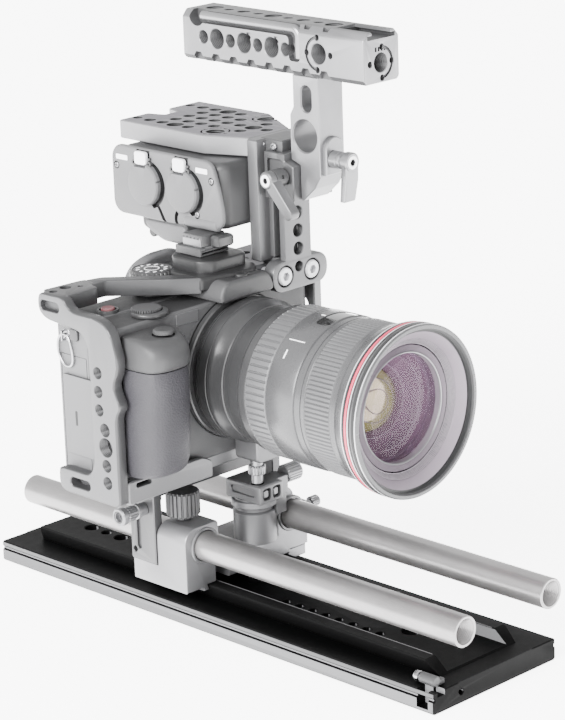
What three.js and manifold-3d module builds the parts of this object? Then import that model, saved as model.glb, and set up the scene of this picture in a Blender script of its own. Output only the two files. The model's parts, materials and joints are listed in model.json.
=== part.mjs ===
// Cinema camera rig: a mirrorless camera in a machined cage, carried on two 15 mm rods over a
// long dovetail plate, with an adapted zoom lens, an audio input unit in the hot shoe, a cheese
// plate on a bracket post and a top handle on a sliding clamp.
//
// Units are millimetres. +Z is up, -Y is the way the lens points, -X is the side of the hand
// grip. The origin is the bottom centre of the dovetail plate.

import * as THREE from 'three';
import { mergeVertices } from 'three/addons/utils/BufferGeometryUtils.js';
import Module from 'manifold-3d';

const wasm = await Module();
wasm.setup();

// ---------------------------------------------------------------- driving dimensions

const GAP = 0.3;                  // clearance left between pieces that touch
const THROUGH = 1;                // how far a cutting tool runs past the face it cuts
const LENS_SIDES = 30;
const ROUND_SIDES = 18;
const HOLE_SIDES = 8;
const CORNER_STEPS = 2;           // an arc in an outline gets twice as many flats

const PLATE = {
  halfWidth: 43, halfLength: 152.4, top: 10.9,
  railTop: 17.8, railHalf: 28, railFoot: 26.4, channelHalf: 20.8, channelFloor: 11.7,
  railFront: -132.3, railRear: 138.4, channelRear: 42,
};
const ROD = { x: 30, z: 39.4, radius: 7.5, bore: 5.9, socket: 16, front: -160.8, rear: 138.4 };
const BRIDGE = {
  half: 43, front: 9.5, clampRear: 29.6, rear: 48, top: 49.8, step: 27.5,
  trough: 20.3, troughFloor: 30, bottom: 17.3, hookBottom: 15.4,
};
const RISER = { half: 44, inner: 38.4, front: 30.2, rear: 48, deckFront: 33.5, deck: 61, top: 73.7 };
const SUPPORT = { x: 13, y: 14.5, postRadius: 6.5, blockTop: 63, blockBottom: 53.4 };
const LIFT = [4.5, 6.5];
const CAGE = { left: -85, wall: 5.8, bottom: 74, right: 60, rightWall: 5.5, topRight: 168 };
const BODY = { left: -78, right: 54, front: 12.5, split: 33, rear: 56, bottom: 81.3, top: 160 };
const LENS = { z: 124.4, front: -107 };
const SHUTTER_BUTTON = [-60, -1];
const RECORD_BUTTON = [-58.6, 39.4];
const XLR_INPUTS = [['front', 45.4, 206.6], ['rear', 73, 206.4]];
const AUDIO = { left: 1, right: 62, front: 23.5, rear: 99, bottom: 188.5, top: 221.9 };
const AUDIO_PANEL = { front: 20.4, rear: 99.6, bottom: 188.3, top: 223.6 };
const POST = { front: 5, x: 37.2, half: 9, top: 232 };
const CHEESE = { bottom: 222.6, top: 232, left: 14.5, right: 70, front: 23.3, rear: 107.5 };
const HANDLE = { left: 26, right: 50.5, front: -53, rear: 70, bottom: 266, top: 290.6 };
const ARM = { left: 28.4, right: 45.4, front: -20.3, rear: -0.8, neckRear: -3.2 };

// ---------------------------------------------------------------- materials

function material(color, roughness, metalness) {
  return new THREE.MeshStandardMaterial({ color, roughness, metalness });
}

const MATERIALS = {
  blackAnodised: () => material(0x1a1a1b, 0.45, 0.6),
  silver: () => material(0xc9c8c6, 0.4, 0.7),
  rodSilver: () => material(0xb9b4ae, 0.3, 0.9),
  cageGrey: () => material(0xbdbdbd, 0.45, 0.6),
  plateGrey: () => material(0xb5b1ba, 0.45, 0.6),
  bodyGrey: () => material(0x6f7073, 0.7, 0.1),
  lensGrey: () => material(0x7d7e80, 0.45, 0.2),
  ribGrey: () => material(0x77787b, 0.75, 0.0),
  audioGrey: () => material(0xb9b9b9, 0.6, 0.1),
  audioDark: () => material(0x6d6d6d, 0.6, 0.1),
  white: () => material(0xf2f2f2, 0.5, 0.0),
  steel: () => material(0xd5d5d3, 0.3, 0.9),
  red: () => material(0xd76a72, 0.4, 0.0),
  glass: () => material(0xb3a3b2, 0.08, 0.0),
  screenGlass: () => material(0x2a2c30, 0.1, 0.0),
};

// ---------------------------------------------------------------- solid modelling helpers

// Turns a closed three.js geometry into a solid with its faces pointing out.
function toSolid(geometry) {
  const bare = geometry.clone();
  for (const name of Object.keys(bare.attributes)) {
    if (name !== 'position') bare.deleteAttribute(name);
  }
  const merged = mergeVertices(bare, 1e-4);
  const points = merged.attributes.position.array;
  const index = merged.index.array;
  const triangles = [];
  let volume = 0;
  for (let i = 0; i < index.length; i += 3) {
    const [a, b, c] = [index[i], index[i + 1], index[i + 2]];
    if (a === b || b === c || c === a) continue;
    triangles.push(a, b, c);
    const corner = (k) => new THREE.Vector3(points[3 * k], points[3 * k + 1], points[3 * k + 2]);
    volume += corner(a).dot(corner(b).cross(corner(c)));
  }
  if (volume < 0) triangles.reverse();
  const mesh = new wasm.Mesh({
    numProp: 3,
    vertProperties: new Float32Array(points),
    triVerts: new Uint32Array(triangles),
  });
  return new wasm.Manifold(mesh);
}

function toGeometry(solid) {
  const mesh = solid.getMesh();
  const geometry = new THREE.BufferGeometry();
  geometry.setAttribute('position', new THREE.BufferAttribute(mesh.vertProperties, 3));
  geometry.setIndex(new THREE.BufferAttribute(mesh.triVerts, 1));
  return geometry;
}

function cut(solid, ...tools) {
  return tools.flat().reduce((left, tool) => left.subtract(tool), solid);
}

function join(solid, ...others) {
  return others.flat().reduce((whole, other) => whole.add(other), solid);
}

function block(x0, x1, y0, y1, z0, z1) {
  const geometry = new THREE.BoxGeometry(x1 - x0, y1 - y0, z1 - z0);
  geometry.translate((x0 + x1) / 2, (y0 + y1) / 2, (z0 + z1) / 2);
  return toSolid(geometry);
}

// Extrudes an outline drawn in (y, z), (x, z) or (x, y) along the x, y or z axis.
function prism(axis, outline, from, to, steps = CORNER_STEPS) {
  const shape = outline instanceof THREE.Shape
    ? outline
    : new THREE.Shape(outline.map(([u, v]) => new THREE.Vector2(u, v)));
  const geometry = new THREE.ExtrudeGeometry(shape, {
    depth: to - from, bevelEnabled: false, curveSegments: steps,
  });
  const matrix = new THREE.Matrix4();
  if (axis === 'x') matrix.set(0, 0, 1, from, 1, 0, 0, 0, 0, 1, 0, 0, 0, 0, 0, 1);
  if (axis === 'y') matrix.set(1, 0, 0, 0, 0, 0, -1, to, 0, 1, 0, 0, 0, 0, 0, 1);
  if (axis === 'z') matrix.set(1, 0, 0, 0, 0, 1, 0, 0, 0, 0, 1, from, 0, 0, 0, 1);
  geometry.applyMatrix4(matrix);
  return toSolid(geometry);
}

function roundedRectangle(u0, u1, v0, v1, radius) {
  const shape = new THREE.Shape();
  shape.moveTo(u0 + radius, v0);
  shape.lineTo(u1 - radius, v0);
  shape.absarc(u1 - radius, v0 + radius, radius, -Math.PI / 2, 0);
  shape.lineTo(u1, v1 - radius);
  shape.absarc(u1 - radius, v1 - radius, radius, 0, Math.PI / 2);
  shape.lineTo(u0 + radius, v1);
  shape.absarc(u0 + radius, v1 - radius, radius, Math.PI / 2, Math.PI);
  shape.lineTo(u0, v0 + radius);
  shape.absarc(u0 + radius, v0 + radius, radius, Math.PI, 1.5 * Math.PI);
  return shape;
}

// Turns a profile of [radius, distance] points about an axis through the given centre.
function turned(axis, centre, profile, sides = ROUND_SIDES) {
  const points = profile.map(([radius, along]) => new THREE.Vector2(radius, along));
  const geometry = new THREE.LatheGeometry(points, sides);
  if (axis === 'x') geometry.rotateZ(-Math.PI / 2).translate(0, centre[0], centre[1]);
  if (axis === 'y') geometry.translate(centre[0], 0, centre[1]);
  if (axis === 'z') geometry.rotateX(Math.PI / 2).translate(centre[0], centre[1], 0);
  return toSolid(geometry);
}

function cylinder(axis, centre, radius, from, to, sides = ROUND_SIDES) {
  return turned(axis, centre, [[0, from], [radius, from], [radius, to], [0, to]], sides);
}

// A knob whose rim alternates between two radii.
function ribbed(axis, centre, radius, depth, ribs, from, to) {
  const outline = [];
  for (let i = 0; i < 2 * ribs; i += 1) {
    const angle = Math.PI * i / ribs;
    const reach = i % 2 ? radius - depth : radius;
    outline.push([centre[0] + reach * Math.cos(angle), centre[1] + reach * Math.sin(angle)]);
  }
  return prism(axis, outline, from, to);
}

// A flat arm with round ends, from one point to another in the plane square to the axis.
function link(axis, start, end, startRadius, endRadius, from, to) {
  const outline = new THREE.Shape();
  const heading = Math.atan2(end[1] - start[1], end[0] - start[0]);
  outline.absarc(start[0], start[1], startRadius, heading + Math.PI / 2, heading + 1.5 * Math.PI);
  outline.absarc(end[0], end[1], endRadius, heading - Math.PI / 2, heading + Math.PI / 2);
  return prism(axis, outline, from, to, 2 * CORNER_STEPS);
}

const group = new THREE.Group();

function piece(name, solid, finish) {
  const mesh = new THREE.Mesh(toGeometry(solid), MATERIALS[finish]());
  mesh.name = name;
  group.add(mesh);
}

// ---------------------------------------------------------------- dovetail plate

function dovetailPlate() {
  const w = PLATE.halfWidth;
  const halfOutline = [
    [w - 1, 0], [w, 1], [w, 6.2], [w - 0.9, 6.9], [w - 0.9, 7.7], [w - 0.3, 8.4],
    [w - 0.3, 10.1], [w - 1.1, PLATE.top], [PLATE.railFoot, PLATE.top],
    [PLATE.railHalf, PLATE.railTop - 0.8], [PLATE.railHalf - 0.8, PLATE.railTop],
  ];
  const mirrored = halfOutline.map(([x, z]) => [-x, z]).reverse();
  const bar = prism('y', [...halfOutline, ...mirrored], -PLATE.halfLength, PLATE.halfLength);
  const c = PLATE.channelHalf;
  const above = PLATE.railTop + THROUGH;
  const frontSlope = prism('x', [
    [-PLATE.halfLength - 1, PLATE.top], [PLATE.railFront - 9.6, PLATE.top],
    [PLATE.railFront, above], [-PLATE.halfLength - 1, above],
  ], -30, 30);
  const rearStep = block(-30, 30, PLATE.railRear, PLATE.halfLength + 1, PLATE.top, above);
  const channel = block(-c, c, -PLATE.halfLength - 1, PLATE.channelRear, PLATE.channelFloor, above);
  const holes = [];
  for (const y of [93.3, 104.7, 116.2]) {
    for (const x of [-11.3, 11.3]) {
      holes.push(cylinder('z', [x, y], y === 104.7 ? 2.7 : 3.8, -1, above, HOLE_SIDES));
    }
  }
  for (let i = 0; i < 8; i += 1) {
    holes.push(cylinder('z', [-8, -24 - 9 * i], 2.2, 6, above, 8));
  }
  for (const y of [-96, 66]) {
    holes.push(cylinder('z', [4, y], 4.8, -1, above, HOLE_SIDES));
  }
  const notch = block(-w - 1, -w + 6, -149, -142, 2, PLATE.top + 1);
  const frontHole = cylinder('y', [-24, 6], 1.6, -PLATE.halfLength - 1, -146, HOLE_SIDES);
  return cut(bar, frontSlope, rearStep, channel, holes, notch, frontHole);
}

piece('dovetail_plate', dovetailPlate(), 'blackAnodised');

const STOP = { x: -36.8, z: 13.9, radius: 2.6, front: -149, rear: -139.8 };
piece('stop_lever', cut(
  join(
    cylinder('y', [STOP.x, STOP.z], STOP.radius, STOP.front, STOP.rear),
    block(STOP.x, STOP.x + 6.2, STOP.front + 0.6, STOP.front + 3.4, PLATE.top + GAP, STOP.z),
  ),
  cylinder('y', [STOP.x, STOP.z], 1.6, STOP.rear - 4, STOP.rear + THROUGH, HOLE_SIDES),
), 'blackAnodised');
piece('stop_button', join(
  cylinder('y', [STOP.x, STOP.z], STOP.radius, STOP.rear + 0.9, STOP.rear + 3.5),
  cylinder('y', [STOP.x, STOP.z], 1.3, STOP.rear - 2.8, STOP.rear + 1, HOLE_SIDES),
), 'steel');

// ---------------------------------------------------------------- bridge and rods

function bridgeBlock() {
  const { half, front, clampRear, rear, trough, troughFloor, top, step } = BRIDGE;
  const outline = new THREE.Shape();
  outline.moveTo(-half, BRIDGE.bottom);
  outline.lineTo(-31.8, BRIDGE.bottom);
  outline.lineTo(-31.2, BRIDGE.hookBottom);
  outline.lineTo(-28, BRIDGE.hookBottom);
  outline.lineTo(-28.9, PLATE.railTop + 0.5);
  outline.lineTo(28.9, PLATE.railTop + 0.5);
  outline.lineTo(28.9, 20);
  outline.lineTo(half - 1.4, 20);
  outline.absarc(half - 6.4, top - 5, 5, 0, Math.PI / 2);
  outline.lineTo(trough, top);
  outline.lineTo(trough, troughFloor);
  outline.lineTo(-trough, troughFloor);
  outline.lineTo(-trough, top);
  outline.absarc(-half + 5, top - 5, 5, Math.PI / 2, Math.PI);
  const body = prism('y', outline, front, rear);
  const tools = [
    block(-half - 1, half + 1, clampRear, rear + 1, step, top + 1),
    block(-23.5, -14.2, front - 1, 21, BRIDGE.hookBottom, troughFloor + 1),
    block(trough - 1, half, front - 1, 19, 43, top + 1),
  ];
  for (const side of [-1, 1]) {
    tools.push(cylinder('y', [side * ROD.x, ROD.z], ROD.radius + 0.35, front - 1, clampRear + 1));
    const slit = [side * (trough - 1), side * 24].sort((a, b) => a - b);
    tools.push(block(slit[0], slit[1], front - 1, clampRear + 1, ROD.z - 0.8, ROD.z + 0.8));
  }
  return cut(body, tools);
}

piece('bridge_block', bridgeBlock(), 'cageGrey');
piece('dovetail_jaw', prism('y', [
  [27.7, BRIDGE.hookBottom], [30.8, 13.8], [41.4, 13.8], [41.4, 19.6], [29, 19.6], [29, 18],
], 11, 46), 'cageGrey');

const JAW_LEVER = { y: 27, z: 16.6 };
piece('jaw_lever', join(
  cylinder('x', [JAW_LEVER.y, JAW_LEVER.z], 4.6, 41.8, 51),
  link('x', [JAW_LEVER.y, JAW_LEVER.z], [58, 19], 4.6, 3.2, 46.5, 51),
), 'silver');

for (const [name, side] of [['rod_left', -1], ['rod_right', 1]]) {
  const axis = [side * ROD.x, ROD.z];
  const sockets = [
    cylinder('y', axis, ROD.bore, ROD.front - 1, ROD.front + ROD.socket),
    cylinder('y', axis, ROD.bore, ROD.rear - ROD.socket, ROD.rear + 1),
  ];
  piece(name, cut(cylinder('y', axis, ROD.radius, ROD.front, ROD.rear), sockets), 'rodSilver');
}

piece('rod_knob_left', join(
  ribbed('z', [-ROD.x, 24], 8.5, 0.9, 22, 52.4, 65),
  cylinder('z', [-ROD.x, 24], 4, BRIDGE.top + GAP, 53),
), 'cageGrey');
piece('rod_knob_right', join(
  cylinder('x', [13, ROD.z], 1.8, BRIDGE.half - 1.1, 48, HOLE_SIDES),
  ribbed('x', [13, ROD.z], 2.9, 0.4, 12, 47, 52.4),
), 'silver');

// ---------------------------------------------------------------- riser under the cage

function baseRiser() {
  const { half, inner, front, rear, deck, top, deckFront } = RISER;
  const outline = [
    [-half, 27.8], [-inner, 27.8], [-inner, deck], [inner, deck], [inner, 27.8],
    [half, 27.8], [half, top], [-half, top],
  ];
  const bridge = prism('y', outline, front, rear);
  const frontCut = block(-inner, inner, front - 1, deckFront, deck - 1, top + 1);
  return cut(bridge, frontCut);
}

piece('base_riser', baseRiser(), 'cageGrey');

const RISER_KNOB = [37.2, 56];
piece('riser_knob', join(
  cut(cylinder('x', RISER_KNOB, 4.6, -61, -57), cylinder('x', RISER_KNOB, 1.9, -62, -59, 6)),
  ribbed('x', RISER_KNOB, 3.7, 0.5, 12, -57.2, -51.5),
  cylinder('x', RISER_KNOB, 2.4, -52, -RISER.half - GAP, HOLE_SIDES),
), 'silver');

// ---------------------------------------------------------------- lens support

function lensSupport() {
  const { x, y, postRadius, blockBottom, blockTop } = SUPPORT;
  const post = cylinder('z', [x, y], postRadius, BRIDGE.troughFloor + GAP, blockBottom + 1);
  const body = block(0, 16, 0, 25, blockBottom, blockTop);
  const leg = block(15, 21.9, 4, 13, 44, blockTop);
  const ear = block(15, 23.5, 4, 13, blockBottom, blockTop);
  const sideSlot = prism('x', roundedRectangle(4, 21, 56.9, 60.3, 1.6), -1, 0.9);
  const windows = [[2.2, 7.2], [8.9, 13.9]].map(([x0, x1]) => (
    prism('y', roundedRectangle(x0, x1, 55.5, 61.2, 1.2), -1, 2.4)
  ));
  const screwWell = cylinder('z', LIFT, 3.3, blockTop - 4.4, blockTop + 1);
  return cut(join(body, post, leg, ear), sideSlot, windows, screwWell);
}

piece('lens_support', lensSupport(), 'cageGrey');
piece('support_side_knob', ribbed('x', [8, 62], 4.8, 0.6, 16, 23.8, 34), 'silver');

piece('support_screw', join(
  cylinder('z', LIFT, 3, SUPPORT.blockTop + GAP, 77),
  ribbed('z', LIFT, 4.4, 0.5, 14, 68, 72.5),
), 'silver');
piece('support_pad', cut(
  prism('y', roundedRectangle(-5, 15, 77.3, 92, 3), -4, 11.8),
  cylinder('y', [0, LENS.z], 36.4, -10, 20, LENS_SIDES),
), 'cageGrey');

// ---------------------------------------------------------------- cage

function cageLeft() {
  const x0 = CAGE.left;
  const x1 = x0 + CAGE.wall;
  const outline = [
    [7.4, CAGE.bottom], [7.4, 119.8], [3.6, 124.4], [6.6, 130], [8.4, 135.3], [5, 141],
    [4.4, 148], [8.3, 160.1], [13, 164.6], [19.7, 166.3], [34, 166.2], [38.4, 168],
    [41.4, 172.3], [57.4, 172.3], [59.8, 169.9], [59.8, 163], [54.8, 159.4], [44, 158.4],
    [30, 157.4], [25.4, 152], [24.5, 135], [24.8, 94], [28, 86.3], [50.4, 86.3],
    [51.4, 84], [51.4, 77], [48, CAGE.bottom],
  ];
  const wall = prism('x', outline, x0, x1);
  const arm = prism('z', [
    [x1 - 1, 42], [-62, 42], [-60.5, 48], [-52, 48], [-30.4, 24], [-24.5, 17.5], [-19, 14.5],
    [-19, 25.5], [-24.5, 28.4], [-48, 54.5], [-52, 56], [-60, 58.5], [x1 - 1, 59.8],
  ], 164.2, 172.3);
  const tools = [
    [18.8, 139.4, 2.8], [18.9, 130.1, 2.8], [18.9, 121, 2.8], [15.6, 111.7, 3.2],
    [15.6, 103, 4.9], [15.6, 93.8, 3], [15.6, 85.2, 3],
  ].map(([y, z, radius]) => cylinder('x', [y, z], radius, x0 - 1, x1 + 1, HOLE_SIDES));
  tools.push(prism('x', roundedRectangle(28.6, 43, 78, 82.6, 2.2), x0 - 1, x1 + 1));
  tools.push(prism('x', roundedRectangle(45, 57.4, 164.4, 168.4, 1.6), x0 - 1, x0 + 4));
  for (const [x, y, radius] of [[-72, 54, 2.8], [-80.5, 53, 2], [-66, 50, 1.6], [-47, 49, 1.8]]) {
    tools.push(cylinder('z', [x, y], radius, 168.8, 174, HOLE_SIDES));
  }
  return cut(join(wall, arm), tools);
}

function cageBase() {
  const x0 = CAGE.left + CAGE.wall + GAP;
  const x1 = CAGE.right - CAGE.rightWall - GAP;
  const floor = prism('z', [
    [x0, 7.6], [-24, 7.6], [-20, 17], [x1, 17], [x1, 50], [x0, 50],
  ], CAGE.bottom, 80.7);
  const lip = prism('y', [
    [x0, CAGE.bottom], [-24, CAGE.bottom], [-24, 82.4], [-30, 85.4], [x0, 85.4],
  ], 7.6, 10.8);
  const slot = prism('y', roundedRectangle(-74, -64, 81.6, 84, 1.1), 7, 12);
  const holes = [-60, -46, -32, 6, 20].map((x) => (
    cylinder('z', [x, 28], 3.2, CAGE.bottom - 1, 82, HOLE_SIDES)
  ));
  return cut(join(floor, lip), slot, holes);
}

function cageRight() {
  const x0 = CAGE.right - CAGE.rightWall;
  const wall = prism('x', roundedRectangle(12.4, 54, CAGE.bottom, CAGE.topRight, 4), x0, CAGE.right);
  const window = prism('x', roundedRectangle(17, 46, 92, 146, 5), x0 - 1, CAGE.right + 1);
  const bar = block(23.5, x0 + 1, 32, 54, 160.6, CAGE.topRight);
  const holes = [];
  for (const x of [28, 36, 44]) {
    for (const y of [38, 47]) {
      holes.push(cylinder('z', [x, y], 2.4, 160, CAGE.topRight + 1, HOLE_SIDES));
    }
  }
  return cut(join(wall, bar), window, holes);
}

piece('cage_left', cageLeft(), 'cageGrey');
piece('cage_base', cageBase(), 'cageGrey');
piece('cage_right', cageRight(), 'cageGrey');

// ---------------------------------------------------------------- camera body

function cameraFrontShell() {
  const { left, right, front, split, bottom, top } = BODY;
  const outline = new THREE.Shape();
  outline.moveTo(left, split);
  outline.lineTo(left, front);
  outline.lineTo(right - 10, front);
  outline.absarc(right - 10, front + 10, 10, -Math.PI / 2, 0);
  outline.lineTo(right, split);
  const shell = prism('z', outline, bottom, top);
  const cavity = block(left + 5, right - 6, front + 4, split + 1, bottom + 5, top - 5);
  const mountOpening = cylinder('y', [0, LENS.z], 22, front - 1, split);
  return cut(shell, cavity, mountOpening);
}

function cameraRearShell() {
  const { left, right, split, rear, bottom, top } = BODY;
  const outline = new THREE.Shape();
  outline.moveTo(right, split + GAP);
  outline.absarc(right - 6, rear - 6, 6, 0, Math.PI / 2);
  outline.absarc(left + 6, rear - 6, 6, Math.PI / 2, Math.PI);
  outline.lineTo(left, split + GAP);
  const shell = prism('z', outline, bottom, top);
  const cavity = block(left + 5, right - 6, split, rear - 5, bottom + 5, top - 5);
  const recordWell = cylinder('z', RECORD_BUTTON, 4, top - 1.4, top + 1, HOLE_SIDES);
  const lug = cut(
    block(left - 3.2, left + 1, 47.8, 48.6, 148.6, 154),
    cylinder('y', [left - 1.2, 151.5], 1.6, 46, 51, HOLE_SIDES),
  );
  return join(cut(shell, cavity, recordWell), lug);
}

function cameraGrip() {
  const back = BODY.front - GAP;
  const outline = new THREE.Shape();
  outline.moveTo(-46, back);
  outline.lineTo(-77.6, back);
  outline.lineTo(-77.6, -2);
  outline.quadraticCurveTo(-77.6, -13.4, -64, -14);
  outline.quadraticCurveTo(-52, -14, -50, -1);
  const column = prism('z', outline, 88, 156.6, 5);
  const topSlope = prism('x', [[-20, 150], [-8, 156.6], [-8, 160], [-20, 160]], -90, -40);
  const toe = prism('x', [[-20, 86], [-3, 86], [-20, 96]], -90, -40);
  const buttonWell = cylinder('z', SHUTTER_BUTTON, 5.6, 155, 158, HOLE_SIDES);
  return cut(column, topSlope, toe, buttonWell);
}

function viewfinderHousing() {
  const outline = [[-18.2, 160.3], [18.2, 160.3], [17, 169], [13.6, 178], [-13.6, 178], [-17, 169]];
  const hood = prism('y', outline, 3, 43.6);
  const brow = prism('x', [[2, 159], [2, 179], [10, 179], [3, 170], [3, 159]], -20, 20);
  const waist = [block(-20, -11.5, 32, 45, 159, 179), block(11.5, 20, 32, 45, 159, 179)];
  return cut(hood, brow, waist);
}

piece('camera_front_shell', cameraFrontShell(), 'bodyGrey');
piece('camera_rear_shell', cameraRearShell(), 'bodyGrey');
piece('camera_grip', cameraGrip(), 'bodyGrey');
piece('viewfinder_housing', viewfinderHousing(), 'bodyGrey');
piece('eyecup', cut(
  prism('y', roundedRectangle(-18, 18, 141, 159.6, 5), BODY.rear + GAP, 66),
  prism('y', roundedRectangle(-12.5, 12.5, 145, 155.8, 3), 59, 67),
), 'ribGrey');
piece('hot_shoe', cut(
  block(-9.6, 9.6, 25.6, 43.4, 178.3, 182.4),
  block(-8.4, 8.4, 25, 42.4, 179.4, 181.4),
  block(-6.4, 6.4, 25, 42.4, 179.4, 183),
), 'steel');

const MODE_DIAL = [-22.8, 46.6];
piece('mode_dial', ribbed('z', MODE_DIAL, 11.2, 0.5, 26, 163.7, 172.4), 'lensGrey');
piece('power_lever', join(
  cylinder('z', MODE_DIAL, 9.6, BODY.top + GAP, 163.4),
  link('z', MODE_DIAL, [-14.4, 35.8], 3, 1.6, 161, 163.4),
), 'lensGrey');
const FRONT_DIAL = [-50, 21.4];
piece('front_dial', ribbed('z', FRONT_DIAL, 7.4, 0.5, 20, BODY.top + GAP, 163.4), 'ribGrey');
piece('shutter_button', cylinder('z', SHUTTER_BUTTON, 5, 156.9, 159.4), 'lensGrey');
piece('record_button', cylinder('z', RECORD_BUTTON, 3.6, BODY.top + GAP, 162), 'red');
const DOOR = { x0: -79.5, x1: -78.3, y0: 27.6, y1: 51, z0: 92, z1: 132 };
piece('card_door', cut(
  block(DOOR.x0, DOOR.x1, DOOR.y0, DOOR.y1, DOOR.z0, DOOR.z1),
  block(DOOR.x0 - 1, DOOR.x0 + 0.6, 42.4, 43.6, 105, 112),
), 'cageGrey');

// A ring of round wire bent to a rounded triangle, hanging from the strap lug.
function strapRing() {
  const corners = [[0, 0.2], [-4.2, -14.6], [0, -16.4], [4.2, -14.6]];
  const points = corners.map(([y, z]) => new THREE.Vector3(-79.2, 48.2 + y, 151.6 + z));
  const path = new THREE.CatmullRomCurve3(points, true, 'catmullrom', 0.35);
  const section = new THREE.Shape();
  section.absarc(0, 0, 0.65, 0, 2 * Math.PI);
  const geometry = new THREE.ExtrudeGeometry(section, {
    steps: 28, extrudePath: path, bevelEnabled: false, curveSegments: 3,
  });
  return toSolid(geometry);
}

piece('strap_ring', strapRing(), 'steel');

piece('screen', join(
  block(-22, 47, BODY.rear + 0.5, 60.8, 93, 138),
  cylinder('z', [48.6, 58.9], 1.9, 93, 138, HOLE_SIDES),
), 'screenGlass');
piece('battery', block(-71, -52, 18, 48, 88, 132), 'audioDark');
piece('sensor_block', cut(
  block(-24, 24, 26, 46, 104, 145),
  block(-18, 18, 25, 28, 111, 138),
), 'audioDark');

// ---------------------------------------------------------------- lens

const LENS_AXIS = [0, LENS.z];

function lensRing(profile) {
  return turned('y', LENS_AXIS, [...profile, profile[0]], LENS_SIDES);
}

piece('lens_adapter', lensRing([
  [23, -11.7], [33.6, -11.7], [34.2, -8], [35.6, -4], [35.6, 4], [33, 8.6], [33, 12.2], [23, 12.2],
]), 'lensGrey');
piece('lens_barrel', lensRing([
  [30.6, -86.4], [33.2, -86.4], [33.2, -29.5], [36.4, -29.5], [36.4, -25], [34.4, -22],
  [34.4, -16], [33.4, -12], [24, -12], [24, -16], [30.6, -22],
]), 'lensGrey');
piece('zoom_ring', lensRing([
  [33.5, -44.2], [37, -44.2], [37.4, -43.6], [37.4, -30.4], [37, -29.8], [33.5, -29.8],
]), 'ribGrey');
piece('middle_barrel', lensRing([
  [33.5, -69.4], [37.2, -69.4], [37.2, -63], [37.8, -62], [37.8, -45], [37.4, -44.5],
  [33.5, -44.5],
]), 'lensGrey');
piece('focus_ring', lensRing([
  [33.5, -86.4], [37.4, -86.4], [37.8, -85.8], [37.8, -70.3], [37.4, -69.7], [33.5, -69.7],
]), 'ribGrey');
piece('front_barrel', lensRing([
  [38.6, LENS.front], [41.2, LENS.front], [41.4, -106], [41.4, -101.6], [40.2, -101.2],
  [40.2, -97.4], [41, -96.8], [38.4, -88.4], [38, -86.7], [30.6, -86.7], [30.6, -97],
  [37.6, -103], [38.6, -103.4],
]), 'lensGrey');
piece('accent_ring', lensRing([
  [40.5, -100.4], [41.4, -100.4], [41.4, -98.6], [40.5, -98.6],
]), 'red');
piece('front_group', lensRing([
  [27.4, -96.4], [28.6, -97.4], [30.2, -96.4], [30.2, -85], [25, -85], [25, -88.6], [27.4, -88.6],
]), 'lensGrey');

function frontElement() {
  const profile = [[0, -88.9]];
  profile.push([27.1, -88.9], [27.1, -94]);
  const bulge = 6;
  for (let i = 1; i <= bulge; i += 1) {
    const radius = 27.1 * (1 - i / bulge);
    profile.push([radius, -94 - 4.6 * (1 - (radius / 27.1) ** 2)]);
  }
  return turned('y', LENS_AXIS, profile, LENS_SIDES);
}

piece('front_element', frontElement(), 'glass');

// ---------------------------------------------------------------- audio input unit

function audioBody() {
  const { left, right, front, rear, bottom, top } = AUDIO;
  const x0 = left + 3.3;
  const outline = new THREE.Shape();
  outline.moveTo(x0, bottom + 1);
  outline.lineTo(x0 + 2, bottom);
  outline.lineTo(right - 5, bottom);
  outline.absarc(right - 5, bottom + 5, 5, -Math.PI / 2, 0);
  outline.absarc(right - 5, top - 5, 5, 0, Math.PI / 2);
  outline.lineTo(x0 + 3, top);
  outline.lineTo(x0, top - 1.6);
  const shell = prism('y', outline, front, rear);
  const neck = prism('x', [
    [48, 178.4], [50, 177], [72, 177], [76, 178.4], [82, bottom - 1], [82, bottom + 1],
    [48, bottom + 1],
  ], x0, 20);
  return join(shell, neck);
}

function audioPanel() {
  const { left } = AUDIO;
  const { front, rear, bottom, top } = AUDIO_PANEL;
  const panel = prism('x', roundedRectangle(front, rear, bottom, top, 5), left, left + 3);
  const wells = XLR_INPUTS.map(([, y, z]) => (
    block(left - 1, left + 1.1, y - 5.4, y + 5.4, z + 11, z + 16.4)
  ));
  return cut(panel, wells);
}

piece('audio_unit_body', audioBody(), 'audioDark');
piece('audio_unit_panel', audioPanel(), 'audioGrey');
for (const [end, y, z] of XLR_INPUTS) {
  piece(`xlr_cap_${end}`, turned('x', [y, z], [
    [0, AUDIO.left - 3.6], [9.8, AUDIO.left - 3.6], [10.8, AUDIO.left - 2.6],
    [10.8, AUDIO.left - GAP], [0, AUDIO.left - GAP],
  ]), 'audioGrey');
  piece(`xlr_tab_${end}`, prism('x', roundedRectangle(y - 5, y + 5, z + 11.3, z + 16, 1.2),
    AUDIO.left - 2.4, AUDIO.left - GAP), 'white');
}
piece('audio_foot', join(
  block(-7.6, 7.6, 26, 40, 182.8, AUDIO.bottom - GAP),
  block(-5.8, 5.8, 26.5, 41.5, 180.9, 183),
  block(-8, 8, 26.5, 41.5, 179.8, 181.1),
), 'steel');

// ---------------------------------------------------------------- bracket post

const BOLTS = [27.6, 46.2];
const BOLT_Z = 164.3;

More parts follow.
